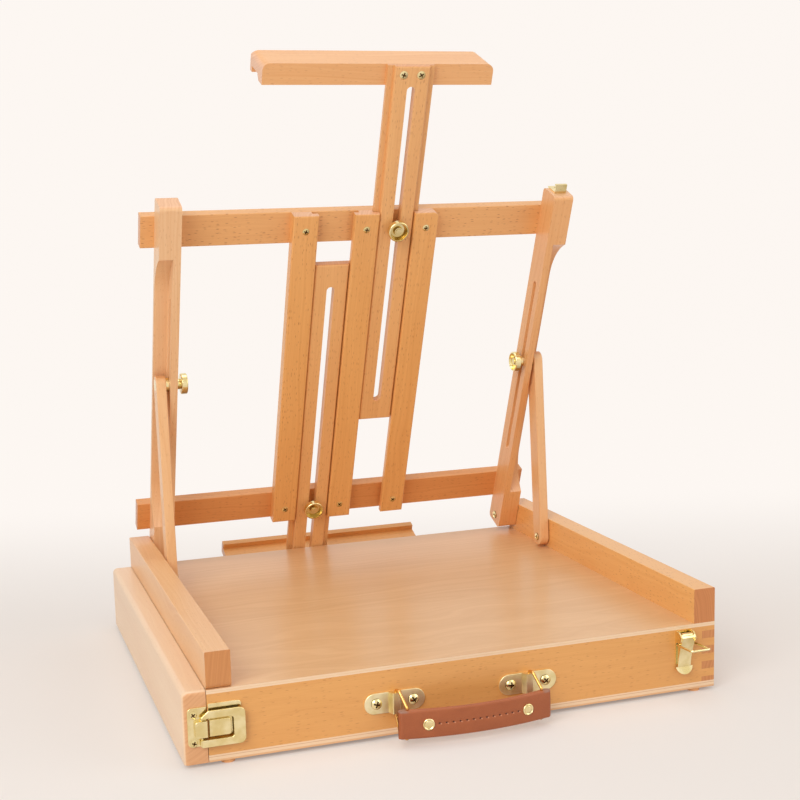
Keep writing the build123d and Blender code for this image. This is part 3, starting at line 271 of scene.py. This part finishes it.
def beech(name, along, face, light, dark, seed, fleck=0.5, fibre=0.3, ring=0.35, pith=(40.0, 60.0), end=None):
    """Clear lacquered beech. The colour lies between a light and a dark tone by growth rings about a far pith,
    fine fibres and a slow drift along the board. Short dark ray flecks lie along the grain, and faces across
    the grain show the rings faintly in a redder tone."""
    rings_each_mm, ring_wander, contrast, drift_contrast = 0.55, 14.0, 2.6, 0.9
    material, tree, shader = new_material(
        name, Roughness=0.42, Coat_Weight=0.35, Coat_Roughness=0.24, Coat_IOR=1.48
    )
    place = grain_vector(tree, along, face, seed)
    drift = noise(tree, stretched(tree, place, (0.006, 0.035, 0.035)), 2.0)
    wander = noise(tree, stretched(tree, place, (0.008, 0.03, 0.03)), 1.0)
    moved = vector_work(tree, "ADD", "Vector", place, (0.0, *pith))
    distance = vector_work(tree, "LENGTH", "Value", stretched(tree, moved, (0.0, 1.0, 1.0)))
    distance = work(tree, "ADD", distance, work(tree, "MULTIPLY", wander, ring_wander))
    feeds = {"W": work(tree, "MULTIPLY", distance, rings_each_mm), "Scale": 1.0, "Detail": 3.0, "Roughness": 0.6}
    layers = add_node(tree, "ShaderNodeTexNoise", feeds, noise_dimensions="1D").outputs[0]
    fibres = noise(tree, stretched(tree, place, (0.035, 1.7, 1.7)), 3.0, 0.6)
    shade = 0.5
    for part, share in ((layers, ring * contrast), (fibres, fibre * contrast), (drift, drift_contrast)):
        shade = work(tree, "MULTIPLY_ADD", work(tree, "SUBTRACT", part, 0.5), share, shade)
    shade = add_node(tree, "ShaderNodeClamp", {"Value": shade}).outputs[0]
    colour = mix(tree, shade, tone(*light), tone(*dark))
    feeds = {"Vector": stretched(tree, place, (0.16, 1.0, 1.0)), "Scale": 1.0, "Randomness": 1.0}
    spots = add_node(tree, "ShaderNodeTexVoronoi", feeds, feature="F1")
    chosen = add_node(tree, "ShaderNodeSeparateColor", {"Color": spots.outputs["Color"]}).outputs[0]
    dash = span(tree, spots.outputs["Distance"], 0.12, 0.30, 1.0, 0.0)
    rays = product(tree, dash, span(tree, chosen, 0.32, 0.62), fleck)
    colour = mix(tree, rays, colour, tone(*(np.array(dark) * (0.78, 0.66, 0.56))))
    end_light = np.array(end if end else np.array(dark) * (1.0, 0.97, 0.95))
    rings = span(tree, layers, 0.30, 0.70)
    end_colour = mix(tree, rings, tone(*end_light), tone(*(end_light * (0.95, 0.91, 0.88))))
    cut = span(tree, facing(tree, along), 0.55, 0.9)
    colour = mix(tree, cut, colour, end_colour)
    tree.links.new(colour, shader.inputs["Base Color"])
    relief = work(tree, "MULTIPLY_ADD", rays, -1.0, fibres)
    bump = add_node(tree, "ShaderNodeBump", {"Height": relief, "Strength": 0.25, "Distance": 0.00012})
    tree.links.new(bump.outputs[0], shader.inputs["Normal"])
    return material, tree, shader, colour


def give(material, *names):
    """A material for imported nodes, through their material slots."""
    for name in names:
        slots = nodes[name].data.materials
        slots.clear()
        slots.append(material)


# The frame's pivot: in from the box's rear and up from the table
pivot_inset, pivot_height = 9.0, 15.3
pivot_y = rear_y - pivot_inset
pivot_z = table_top_z + pivot_height


def on_frame(x, s, n):
    """Points of the leaning frame: x across, s up from its pivot and n out of the face that looks over the box."""
    x, s, n = (np.asarray(v, float)[..., None] for v in np.broadcast_arrays(x, s, n))
    return x * across + s * frame_up + n * frame_face + np.array((0.0, pivot_y, pivot_z))


# Wood: light tone, dark tone, grain direction and face of each piece
mid_x = (seam_x + right_x) / 2
strut_run = np.array((0.0, 0.0635, 0.998))
tan = ((238, 177, 104), (221, 154, 82))
straw = ((240, 184, 120), (223, 160, 98))
honey = ((241, 180, 109), (223, 157, 86))
orange = ((246, 190, 118), (231, 167, 95))
amber = ((231, 162, 98), (212, 138, 74))
rosy = ((243, 202, 156), (230, 178, 128))
blush = ((243, 196, 144), (229, 171, 114))
toffee = ((241, 186, 128), (227, 161, 98))
veneer = ((231, 187, 138), (215, 167, 116))
pale = ((247, 217, 181), (237, 198, 160))
wood_plan = {
    "front_panel": (tan, across, outward, dict(fleck=0.45, ring=0.25)),
    "rear_panel": (tan, across, outward, dict(fleck=0.45, ring=0.25)),
    "right_panel": (tan, outward, across, dict(fleck=0.4, end=(213, 143, 85))),
    "left_side_rail": (blush, outward, across, dict(fleck=0.3, end=(211, 143, 82), pith=(16.0, -30.0))),
    "right_side_rail": (orange, outward, across, dict(fleck=0.7, end=(209, 135, 76), pith=(4.0, 34.0))),
    "drawer_front": (pale, outward, across, dict(fleck=0.2, ring=0.2, pith=(160.0, 240.0), end=(230, 174, 124))),
    "left_upright": (rosy, frame_up, frame_face, dict(fleck=0.4, end=(238, 188, 144))),
    "right_upright": (toffee, frame_up, frame_face, dict(fleck=0.4, end=(238, 188, 144))),
    "upper_cross_rail": (straw, across, frame_face, dict(fleck=0.95, end=(222, 158, 104))),
    "lower_cross_rail": (amber, across, frame_face, dict(fleck=0.6, end=(208, 142, 90))),
    "guide_slat_left": (honey, frame_up, frame_face, dict(fleck=0.8, end=(236, 184, 140))),
    "guide_slat_middle": (honey, frame_up, frame_face, dict(fleck=0.6, end=(236, 184, 140))),
    "guide_slat_right": (honey, frame_up, frame_face, dict(fleck=0.6, end=(236, 184, 140))),
    "mast_slider": (straw, frame_up, frame_face, dict(fleck=0.7)),
    "shelf_slider": (straw, frame_up, frame_face, dict(fleck=0.6)),
    "top_clamp_bar": (toffee, across, frame_up, dict(fleck=0.4, end=(240, 188, 148))),
    "canvas_shelf": (honey, across, frame_up, dict(fleck=0.5, end=(214, 150, 100))),
    "left_strut": (blush, strut_run, across, dict(fleck=0.3)),
    "right_strut": (blush, strut_run, across, dict(fleck=0.3)),
    "drawer_near_side": (pale, across, outward, dict(fleck=0.2)),
    "drawer_far_side": (pale, across, outward, dict(fleck=0.2)),
    "drawer_back": (pale, outward, across, dict(fleck=0.2)),
    "drawer_dividers": (pale, across, outward, dict(fleck=0.2)),
}
for seed, (name, (tones, along, face, extra)) in enumerate(wood_plan.items()):
    give(beech(f"beech_{name}", along, face, tones[0], tones[1], seed + 1.0, **extra)[0], name)


def plywood(node, tones, seed, layers):
    """Beech veneer above and below, and at the edges the plies as bands by height: each (share, colour)."""
    material, tree, shader, colour = beech(
        f"ply_{node}", across, upward, *tones, seed, fleck=0.08, fibre=0.34, ring=0.42, pith=(70.0, 210.0)
    )
    low, high = (corner.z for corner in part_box(node))
    feeds = {"Value": split(tree, object_place(tree))[2], "From Min": low, "From Max": high}
    share = add_node(tree, "ShaderNodeMapRange", feeds).outputs[0]
    bands = add_node(tree, "ShaderNodeValToRGB", {0: share})
    ramp = bands.color_ramp
    for number, (at, shade) in enumerate(layers):
        stop = ramp.elements[number] if number < 2 else ramp.elements.new(at)
        stop.position, stop.color = at, tone(*shade)
    streak = noise(tree, stretched(tree, grain_vector(tree, across, upward, seed), (0.15, 0.4, 3.0)), 2.0)
    streaked = mix(tree, work(tree, "MULTIPLY", streak, 0.5), bands.outputs[0], tone(226, 178, 130))
    side = span(tree, facing(tree, upward), 0.4, 0.7, 1.0, 0.0)
    tree.links.new(mix(tree, side, colour, streaked), shader.inputs["Base Color"])
    give(material, node)


# The first and last share come first, as they take the ramp's own two stops
cream, core, glue_line = (250, 222, 188), (240, 196, 150), (196, 138, 92)
top_layers = [(0.0, cream), (1.0, cream), (0.42, cream), (0.5, (238, 196, 152)), (0.58, cream)]
bottom_layers = [(0.0, (228, 172, 122)), (1.0, cream), (0.28, core), (0.34, cream)]
bottom_layers += [(0.66, cream), (0.72, glue_line), (0.78, cream)]
plywood("top_board", veneer, 31.0, top_layers)
plywood("bottom_board", veneer, 32.0, bottom_layers)
give(beech("ply_drawer_bottom", across, upward, *pale, 33.0, fleck=0.1)[0], "drawer_bottom")


def brass_finish(name, colour, roughness):
    """Lacquered brass: bright metal whose gloss and colour drift a little over the surface, with painted shade and a
    painted brown reflection on faces that turn down and to the right, and painted shade in recesses and at contacts."""
    material, tree, shader = new_material(name, Metallic=1.0)
    place = grain_vector(tree, across, upward, 3.0)
    drift = noise(tree, stretched(tree, place, (0.11, 0.11, 0.11)), 2.0)
    shade = np.array(colour)
    metal = mix(tree, span(tree, drift, 0.30, 0.70), tone(*shade), tone(*(shade * (0.93, 0.90, 0.80))))
    # Painted shade and a painted brown reflection on faces that turn down and to the right
    painted_underside_shade = vector_work(tree, "DOT_PRODUCT", "Value", surface_way(tree), (0.62, -0.28, -0.73))
    metal = mix(tree, span(tree, painted_underside_shade, 0.36, 0.80, 0.0, 0.65), metal, tone(128, 92, 44))
    # Painted shade in recesses and a painted contact shadow at the rim's foot, from the piece's shade marks
    recess_shade = add_node(tree, "ShaderNodeAttribute", attribute_name="recess_shade").outputs["Fac"]
    tree.links.new(mix(tree, recess_shade, metal, tone(84, 54, 26)), shader.inputs["Base Color"])
    fine = noise(tree, stretched(tree, place, (1.5, 1.5, 1.5)), 3.0)
    gloss = work(tree, "MULTIPLY_ADD", fine, 0.10, roughness - 0.05)
    tree.links.new(gloss, shader.inputs["Roughness"])
    return material


polished_brass = brass_finish("polished_brass", (247, 233, 184), 0.17)
satin_brass = brass_finish("satin_brass", (248, 237, 196), 0.40)
ring_brass = brass_finish("ring_brass", (232, 184, 112), 0.20)
give(satin_brass, "handle_plates")
give(ring_brass, "left_handle_ring", "right_handle_ring")
give(polished_brass, "draw_latch_base", "draw_latch_lever", "draw_latch_bail", "draw_latch_screws")
give(polished_brass, "drawer_latch_base", "drawer_latch_hasp", "drawer_latch_screws")
give(polished_brass, "drawer_latch_keeper", "drawer_latch_keeper_screws", "latch_hook", "latch_hook_screw")
give(polished_brass, "handle_plate_screws", "handle_rivets", "frame_pivot_screws", "strut_pivot_screws")
give(polished_brass, "slat_screws", "cross_rail_screws", "clamp_bar_screws", "shelf_screws")
for side in ("left", "right"):
    give(polished_brass, f"{side}_clamp_bolt", f"{side}_strut_bolt", f"{side}_tilt_knob")
for slider in ("mast", "shelf"):
    give(polished_brass, f"{slider}_clamp_bolt", f"{slider}_knob")

rubber, tree, shader = new_material("foot_rubber", Roughness=0.55)
speckle = noise(tree, stretched(tree, grain_vector(tree, across, upward, 9.0), (1.2, 1.2, 1.2)), 2.0)
tree.links.new(mix(tree, speckle, tone(255, 196, 138), tone(248, 180, 118)), shader.inputs["Base Color"])
give(rubber, "rubber_feet")

# The leather grip: the rings hang from the plates and carry its ends, and its middle bows towards the hand

handle_left, handle_pitch, plate_thick = 135.7, 104.0, 1.4
ring_stand, ring_reach, ring_lean = 2.2, 14.2, radians(14.0)
end_past_ring, rivet_inset, fold = 6.7, 20.5, 3.3
front_bow, front_rise = 9.6, 6.3
back_bow, back_rise = 5.2, 8.5
grip_left = seam_x + handle_left + ring_reach * sin(ring_lean)
grip_right = grip_left + handle_pitch
grip_y = face_y - plate_thick - ring_stand - ring_reach * cos(ring_lean)
grip_mid = (grip_left + grip_right) / 2
grip_low, grip_high = base_z + 3.4, base_z + 24.0
grip_centre = (grip_low + grip_high) / 2
strap_run = (grip_right - grip_left) / 2 + end_past_ring - fold
rivet_offset = (grip_right - grip_left) / 2 + end_past_ring - rivet_inset
hole_count, hole_pitch = 13, 5.05


def strap_stations():
    """Offsets from the strap's middle along its length, closer together round the folded ends."""
    run = np.linspace(-strap_run, strap_run, 281)
    end = strap_run + fold * np.sin(np.linspace(0, pi / 2, 11))[1:]
    return np.concatenate((-end[::-1], run, end))


def leather_shell():
    """The strap as one closed shell. Its middle line bows towards the hand as a parabola and its ends are round folds.
    At each station a rounded rectangle goes round the strap; the flat faces dip at the rivets and at each stitch hole,
    and the upper and lower edges are pinched in along the line where the two layers meet."""
    edge_round, hole_wide, hole_high = 1.2, 0.8, 0.6
    puff_high, dent_deep, crease_deep, hole_deep, pinch_deep = 0.4, 0.5, 0.3, 0.9, 0.4
    offset = strap_stations()[:, None]
    inside = np.clip(np.abs(offset) / strap_run, 0, 1)
    over = np.clip(np.abs(offset) - strap_run, 0, fold)
    swell = np.sqrt(np.clip(1 - (over / fold) ** 2, 0, None))
    front = -(fold + front_rise * (1 - inside**2)) * swell
    back = (fold - back_rise * (1 - inside**2)) * swell
    half, middle = (back - front) / 2, (back + front) / 2
    corner = np.minimum(edge_round, half * 0.9)
    height = (grip_high - grip_low) / 2

    # Round one station: the four sides and corners, as shares of the half depth and half height, and their turns
    rows = np.concatenate((np.linspace(-1, -0.2, 12), np.linspace(-0.16, 0.16, 15), np.linspace(0.2, 1, 12)))
    bend = np.linspace(0, pi / 2, 7)[1:-1]
    rim = np.linspace(-1, 1, 9)
    face, round_, thin = np.ones(rows.size), np.ones(bend.size), np.ones(rim.size)
    a = np.concatenate((-face, -round_, rim, round_, face, round_, -rim, -round_))
    b = np.concatenate((rows, round_, thin, round_, rows[::-1], -round_, -thin, -round_))
    right_angle = pi / 2
    turn = np.concatenate((face * pi, pi - bend, thin * right_angle, right_angle - bend, face * 0))
    turn = np.concatenate((turn, -bend, -thin * right_angle, -right_angle - bend))

    depth = a * (half - corner) + corner * np.cos(turn)
    z = b * (height - corner) + corner * np.sin(turn)
    flat = np.isclose(np.abs(np.cos(turn)), 1.0)
    holes = (np.arange(hole_count) - (hole_count - 1) / 2) * hole_pitch
    near_hole = np.abs(offset - holes).min(axis=1)[:, None]
    pierced = np.exp(-((near_hole / hole_wide) ** 2) - (z / hole_high) ** 2) * (a < 0)
    rivet = np.exp(-((np.abs(offset) - rivet_offset) ** 2 + z**2) / 24.0)
    crease = np.exp(-((z / 1.7) ** 2)) * np.clip((rivet_offset - np.abs(offset)) / 8.0, 0, 1)
    puff = 1 - (z / height) ** 2
    dips = puff_high * puff - dent_deep * rivet - crease_deep * crease - hole_deep * pierced
    depth = depth + np.sign(a) * flat * dips
    pinch = np.exp(-((depth / 0.4) ** 2)) * pinch_deep * ~flat * np.clip(half / 2, 0, 1)
    z = z - np.sign(np.sin(turn)) * pinch
    x = grip_mid + offset + 0 * z
    return np.stack((x, grip_y + middle + depth, grip_centre + z), axis=-1)


def leather_hide():
    """Brown leather: fine pebbles under soft clouds, paler along the upper and lower edges. A row of stitch holes runs
    along the front, each darkened with painted shade and with a painted highlight on its lower right rim, and the
    upper corners are greyer."""
    material, tree, shader = new_material("grip_leather", Roughness=0.52, Coat_Weight=0.12, Coat_Roughness=0.35)
    place = grain_vector(tree, across, outward, 4.0)
    feeds = {"Vector": stretched(tree, place, (1.1, 1.3, 1.3)), "Scale": 1.0}
    cells = add_node(tree, "ShaderNodeTexVoronoi", feeds, feature="DISTANCE_TO_EDGE").outputs[0]
    pebble = span(tree, cells, 0.0, 0.25)
    cloud = noise(tree, stretched(tree, place, (0.08, 0.12, 0.12)), 3.0)
    hide = mix(tree, cloud, tone(177, 97, 52), tone(159, 82, 41))
    between = work(tree, "SUBTRACT", 1.0, pebble)
    hide = mix(tree, work(tree, "MULTIPLY", between, 0.14), hide, tone(116, 58, 36))
    edge = span(tree, facing(tree, upward), 0.75, 0.97)
    hide = mix(tree, work(tree, "MULTIPLY", edge, 0.45), hide, tone(186, 112, 78))

    # Places along the strap in holes from its middle, and up it in millimetres
    along, _, up = split(tree, object_place(tree))
    steps = work(tree, "DIVIDE", work(tree, "SUBTRACT", along, grip_mid * MM), hole_pitch * MM)
    rise = work(tree, "DIVIDE", work(tree, "SUBTRACT", up, grip_centre * MM), MM)
    in_row = work(tree, "LESS_THAN", work(tree, "ABSOLUTE", steps), hole_count / 2)
    in_front = work(tree, "LESS_THAN", split(tree, surface_way(tree))[1], 0.0)
    stitched = work(tree, "MULTIPLY", in_row, in_front)

    # Painted shade in each stitch hole
    gap = work(tree, "MULTIPLY", off_step(tree, steps), hole_pitch)
    squares = work(tree, "POWER", gap, 2.0), work(tree, "MULTIPLY", work(tree, "POWER", rise, 2.0), 1.6)
    away = work(tree, "SQRT", work(tree, "ADD", *squares))
    hole_shade = work(tree, "MULTIPLY", span(tree, away, 0.45, 0.85, 1.0, 0.0), stitched)
    hide = mix(tree, hole_shade, hide, tone(58, 22, 14))
    # A painted highlight on each hole's lower right rim
    beside = work(tree, "MULTIPLY", off_step(tree, work(tree, "SUBTRACT", steps, 0.2)), hole_pitch)
    below = work(tree, "ABSOLUTE", work(tree, "ADD", rise, 0.5))
    hole_rim_highlight = span(tree, work(tree, "ADD", beside, below), 0.35, 0.8, 0.55, 0.0)
    hide = mix(tree, work(tree, "MULTIPLY", hole_rim_highlight, stitched), hide, tone(222, 160, 122))
    # The upper corners at the strap's ends are greyer
    outwards = work(tree, "MULTIPLY", work(tree, "ABSOLUTE", steps), hole_pitch)
    grey_corners = product(tree, span(tree, outwards, 51.0, 54.5), span(tree, rise, 8.6, 10.0), 0.6)
    hide = mix(tree, grey_corners, hide, tone(148, 124, 112))
    tree.links.new(hide, shader.inputs["Base Color"])
    bump = add_node(tree, "ShaderNodeBump", {"Height": pebble, "Strength": 0.35, "Distance": 0.00015})
    tree.links.new(bump.outputs[0], shader.inputs["Normal"])
    return material


make_piece("leather_strap", [(leather_shell(), False, True)], "grip", leather_hide(), ("leather_grip",))

# The grip's rivets, on the leaning faces of the bowed strap


def rivet_cap(side, front):
    """A low cap: its height over a disc is flat, then a shallow groove and a rounded rim down to the leather."""
    share = (rivet_offset / strap_run) ** 2
    bow, rise = (front_bow, front_rise) if front else (back_bow, back_rise)
    lean = np.arctan2(2 * front_rise * share, rivet_offset)
    axis = np.array((side * sin(lean), -cos(lean), 0.0)) * (1.0 if front else -1.0)
    seat = np.array((grip_mid + side * rivet_offset, grip_y - bow + rise * share, grip_centre))
    turn = np.linspace(0, pi / 2, 7)
    radius = np.concatenate(([0.0, 1.4, 2.5, 2.9, 3.2], 3.5 + 0.9 * np.sin(turn), [4.4]))
    height = np.concatenate(([0.95, 0.92, 0.86, 0.62, 0.80], 0.2 + 0.9 * np.cos(turn), [-0.4]))
    return lathe(np.stack((radius, height), axis=1), seat, axis, 48)


caps = [(rivet_cap(side, front), False, True) for side in (-1, 1) for front in (True, False)]
make_piece("grip_rivet_caps", caps, "grip", polished_brass, ("handle_rivets",))

# Where the screws sit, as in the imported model
rail_thick, upright_thick, strut_thick, head_sink = 18.0, 18.0, 8.5, 0.1
upright_play, strut_play = 0.5, 0.8
half_width = (right_x - seam_x) / 2
upright_seat = half_width - rail_thick - upright_play - upright_thick - head_sink
strut_seat = half_width - rail_thick - strut_play - strut_thick - head_sink
strut_pivot_inset, strut_pivot_height = 88.5, 10.0
slat_shift, slat_pitch, slat_screw_rows, slat_face = -1.5, 53.5, (311.2, 29.6), -2.0
mast_shift, bar_screw_half, bar_screw_row, bar_face = 25.25, 7.5, 444.0, -4.0
plate_screw_half, plate_screw_high = 14.0, 25.1
hasp_screw_x, hasp_screw_rows, hasp_plate_thick = -9.9, (15.4, 35.7), 1.0


def pivot_spots(seat, y, z):
    """Two places, left and right of the middle."""
    return [np.array((mid_x + side * seat, y, z)) for side in (-1, 1)]


# Screw heads: places, way out, radius, body, dome and rim
strut_pivot_spots = pivot_spots(strut_seat, rear_y - strut_pivot_inset, table_top_z + strut_pivot_height)
screw_plan = {
    "slat_screws": (
        [on_frame(mid_x + slat_shift + k * slat_pitch, s, slat_face) for k in (-1, 0, 1) for s in slat_screw_rows],
        frame_face, 3.0, "frame", 0.5, 0.05,
    ),
    "clamp_bar_screws": (
        [on_frame(mid_x + mast_shift + k * bar_screw_half, bar_screw_row, bar_face) for k in (-1, 1)],
        frame_face, 3.5, "mast", 0.6, 0.05,
    ),
    "handle_plate_screws": (
        [
            on_front(x + k * plate_screw_half, plate_screw_high, plate_thick)
            for x in (handle_left, handle_left + handle_pitch)
            for k in (-1, 1)
        ],
        outward, 4.0, "box", 1.7, 0.7,
    ),
    "drawer_latch_screws": (
        [on_front(hasp_screw_x, z, hasp_plate_thick) for z in hasp_screw_rows], outward, 2.7, "drawer", 0.5, 0.05,
    ),
    "frame_pivot_screws": (pivot_spots(upright_seat, pivot_y, pivot_z), across, 3.6, "box", 1.0, 0.5),
    "strut_pivot_screws": (strut_pivot_spots, across, 3.6, "box", 1.0, 0.5),
}
for node, (spots, axis, radius, body, dome, rim) in screw_plan.items():
    heads, shade_marks = [], []
    for number, spot in enumerate(spots):
        way_out = -axis if node.endswith("pivot_screws") and number > 0 else axis
        points, shade_mark = screw_dome(spot, way_out, radius, dome, rim, 0.3 + 0.7 * number)
        heads.append((points, False, True))
        shade_marks.append(shade_mark)
    make_piece(node.replace("screws", "screw_heads"), heads, body, polished_brass, (node,), shade_marks)

# The floor and backdrop, lights and camera


def studio_floor():
    """A sheet carried across the room: flat floor, a wide bend at the back and a wall. In metres."""
    half_room, wall_y, wall_top, bend_radius = 4.0, 3.0, 4.0, 0.8
    bend = np.linspace(0, pi / 2, 24)
    y = np.concatenate(([-half_room, -1.0, 0.0, 1.0], wall_y - bend_radius + bend_radius * np.sin(bend), [wall_y]))
    z = np.concatenate(([0.0, 0.0, 0.0, 0.0], bend_radius - bend_radius * np.cos(bend), [wall_top]))
    x = np.linspace(-half_room, half_room, 9)
    return np.stack((x[:, None] + 0 * y, y + 0 * x[:, None], z + 0 * x[:, None]), axis=-1)


sheet_points = studio_floor()
sheet_quads = grid_quads(*sheet_points.shape[:2]).tolist()
sheet_mesh = bpy.data.meshes.new("studio_floor")
sheet_mesh.from_pydata(sheet_points.reshape(-1, 3).tolist(), [], sheet_quads)
sheet_mesh.polygons.foreach_set("use_smooth", np.ones(len(sheet_mesh.polygons), bool))
floor = bpy.data.objects.new("studio_floor", sheet_mesh)
bpy.context.scene.collection.objects.link(floor)


def seen_plainly(tree):
    """1 for what is looked at, mirrored or seen through glass, 0 for what only lights other things."""
    kinds = add_node(tree, "ShaderNodeLightPath").outputs
    seen = work(tree, "MAXIMUM", kinds["Is Camera Ray"], kinds["Is Glossy Ray"])
    return work(tree, "MAXIMUM", seen, kinds["Is Transmission Ray"])


def backdrop_paper():
    """Pale paper that fades into the backdrop's own light away from the part, by depth into the room or by
    distance from the middle, whichever is more."""
    near_share, far_share = 0.22, 0.98
    material, tree, shader = new_material("backdrop_paper", Roughness=0.9, Specular_IOR_Level=0.1)
    shader.inputs["Base Color"].default_value = tone(236, 230, 225)
    glow = add_node(tree, "ShaderNodeEmission", {"Color": tone(254, 248, 243), "Strength": 1.0})
    place = object_place(tree)
    depth = vector_work(tree, "DOT_PRODUCT", "Value", place, (0.3066, 0.9518, 0.0))
    away = vector_work(tree, "LENGTH", "Value", place)
    deep = span(tree, depth, -0.02, 0.62, near_share, far_share)
    far = work(tree, "MAXIMUM", deep, span(tree, away, 0.75, 1.9, near_share, far_share))
    share = work(tree, "MULTIPLY", far, seen_plainly(tree))
    blend = add_node(tree, "ShaderNodeMixShader", {0: share, 1: shader.outputs[0], 2: glow.outputs[0]})
    tree.links.new(blend.outputs[0], tree.nodes["Material Output"].inputs["Surface"])
    return material


sheet_mesh.materials.append(backdrop_paper())

world = bpy.data.worlds.new("studio")
bpy.context.scene.world = world
world.use_nodes = True
tree = world.node_tree
background = tree.nodes["Background"]
background.inputs["Color"].default_value = tone(253, 248, 243)
feeds = {"Value": seen_plainly(tree), "To Min": 0.42, "To Max": 1.0}
tree.links.new(add_node(tree, "ShaderNodeMapRange", feeds).outputs[0], background.inputs["Strength"])


def softbox(name, place, aim, width, height, power, colour):
    """A rectangular lamp at a place, turned to face a point."""
    light = bpy.data.lights.new(name, "AREA")
    light.shape, light.size, light.size_y = "RECTANGLE", width, height
    light.energy, light.color = power, colour
    holder = bpy.data.objects.new(name, light)
    holder.location = place
    holder.rotation_mode = "QUATERNION"
    holder.rotation_quaternion = (Vector(aim) - Vector(place)).to_track_quat("-Z", "Y")
    bpy.context.scene.collection.objects.link(holder)


softbox("key_light", (-1.5, -1.5, 1.5), (0.0, 0.0, 0.15), 1.6, 1.6, 34.0, (1.0, 0.99, 0.975))
softbox("fill_light", (1.8, -1.2, 1.2), (0.0, 0.0, 0.15), 1.6, 1.6, 11.0, (1.0, 0.99, 0.98))
softbox("top_light", (0.0, 0.2, 2.2), (0.0, 0.0, 0.1), 1.6, 1.2, 10.0, (1.0, 0.99, 0.98))

# The camera, from a fit to the photo's edges and corners
camera_place = (-0.35265, -1.08101, 0.38202)
yaw, pitch, roll = radians(17.855), radians(-8.857), radians(-1.598)
forward = Vector((sin(yaw) * cos(pitch), cos(yaw) * cos(pitch), sin(pitch)))
level = Vector((cos(yaw), -sin(yaw), 0.0))
top = level.cross(forward)
right_axis = level * cos(roll) + top * sin(roll)
up_axis = -level * sin(roll) + top * cos(roll)
lens = bpy.data.cameras.new("camera")
lens.sensor_width, lens.lens = 36.0, 61.54
lens.shift_x, lens.shift_y = 0.0362, 0.0187
lens.clip_start, lens.clip_end = 0.05, 30.0
camera = bpy.data.objects.new("camera", lens)
turned = Matrix((right_axis, up_axis, -forward)).transposed().to_4x4()
camera.matrix_world = Matrix.Translation(camera_place) @ turned
bpy.context.scene.collection.objects.link(camera)
bpy.context.scene.camera = camera
bpy.context.scene.view_settings.view_transform = "Standard"
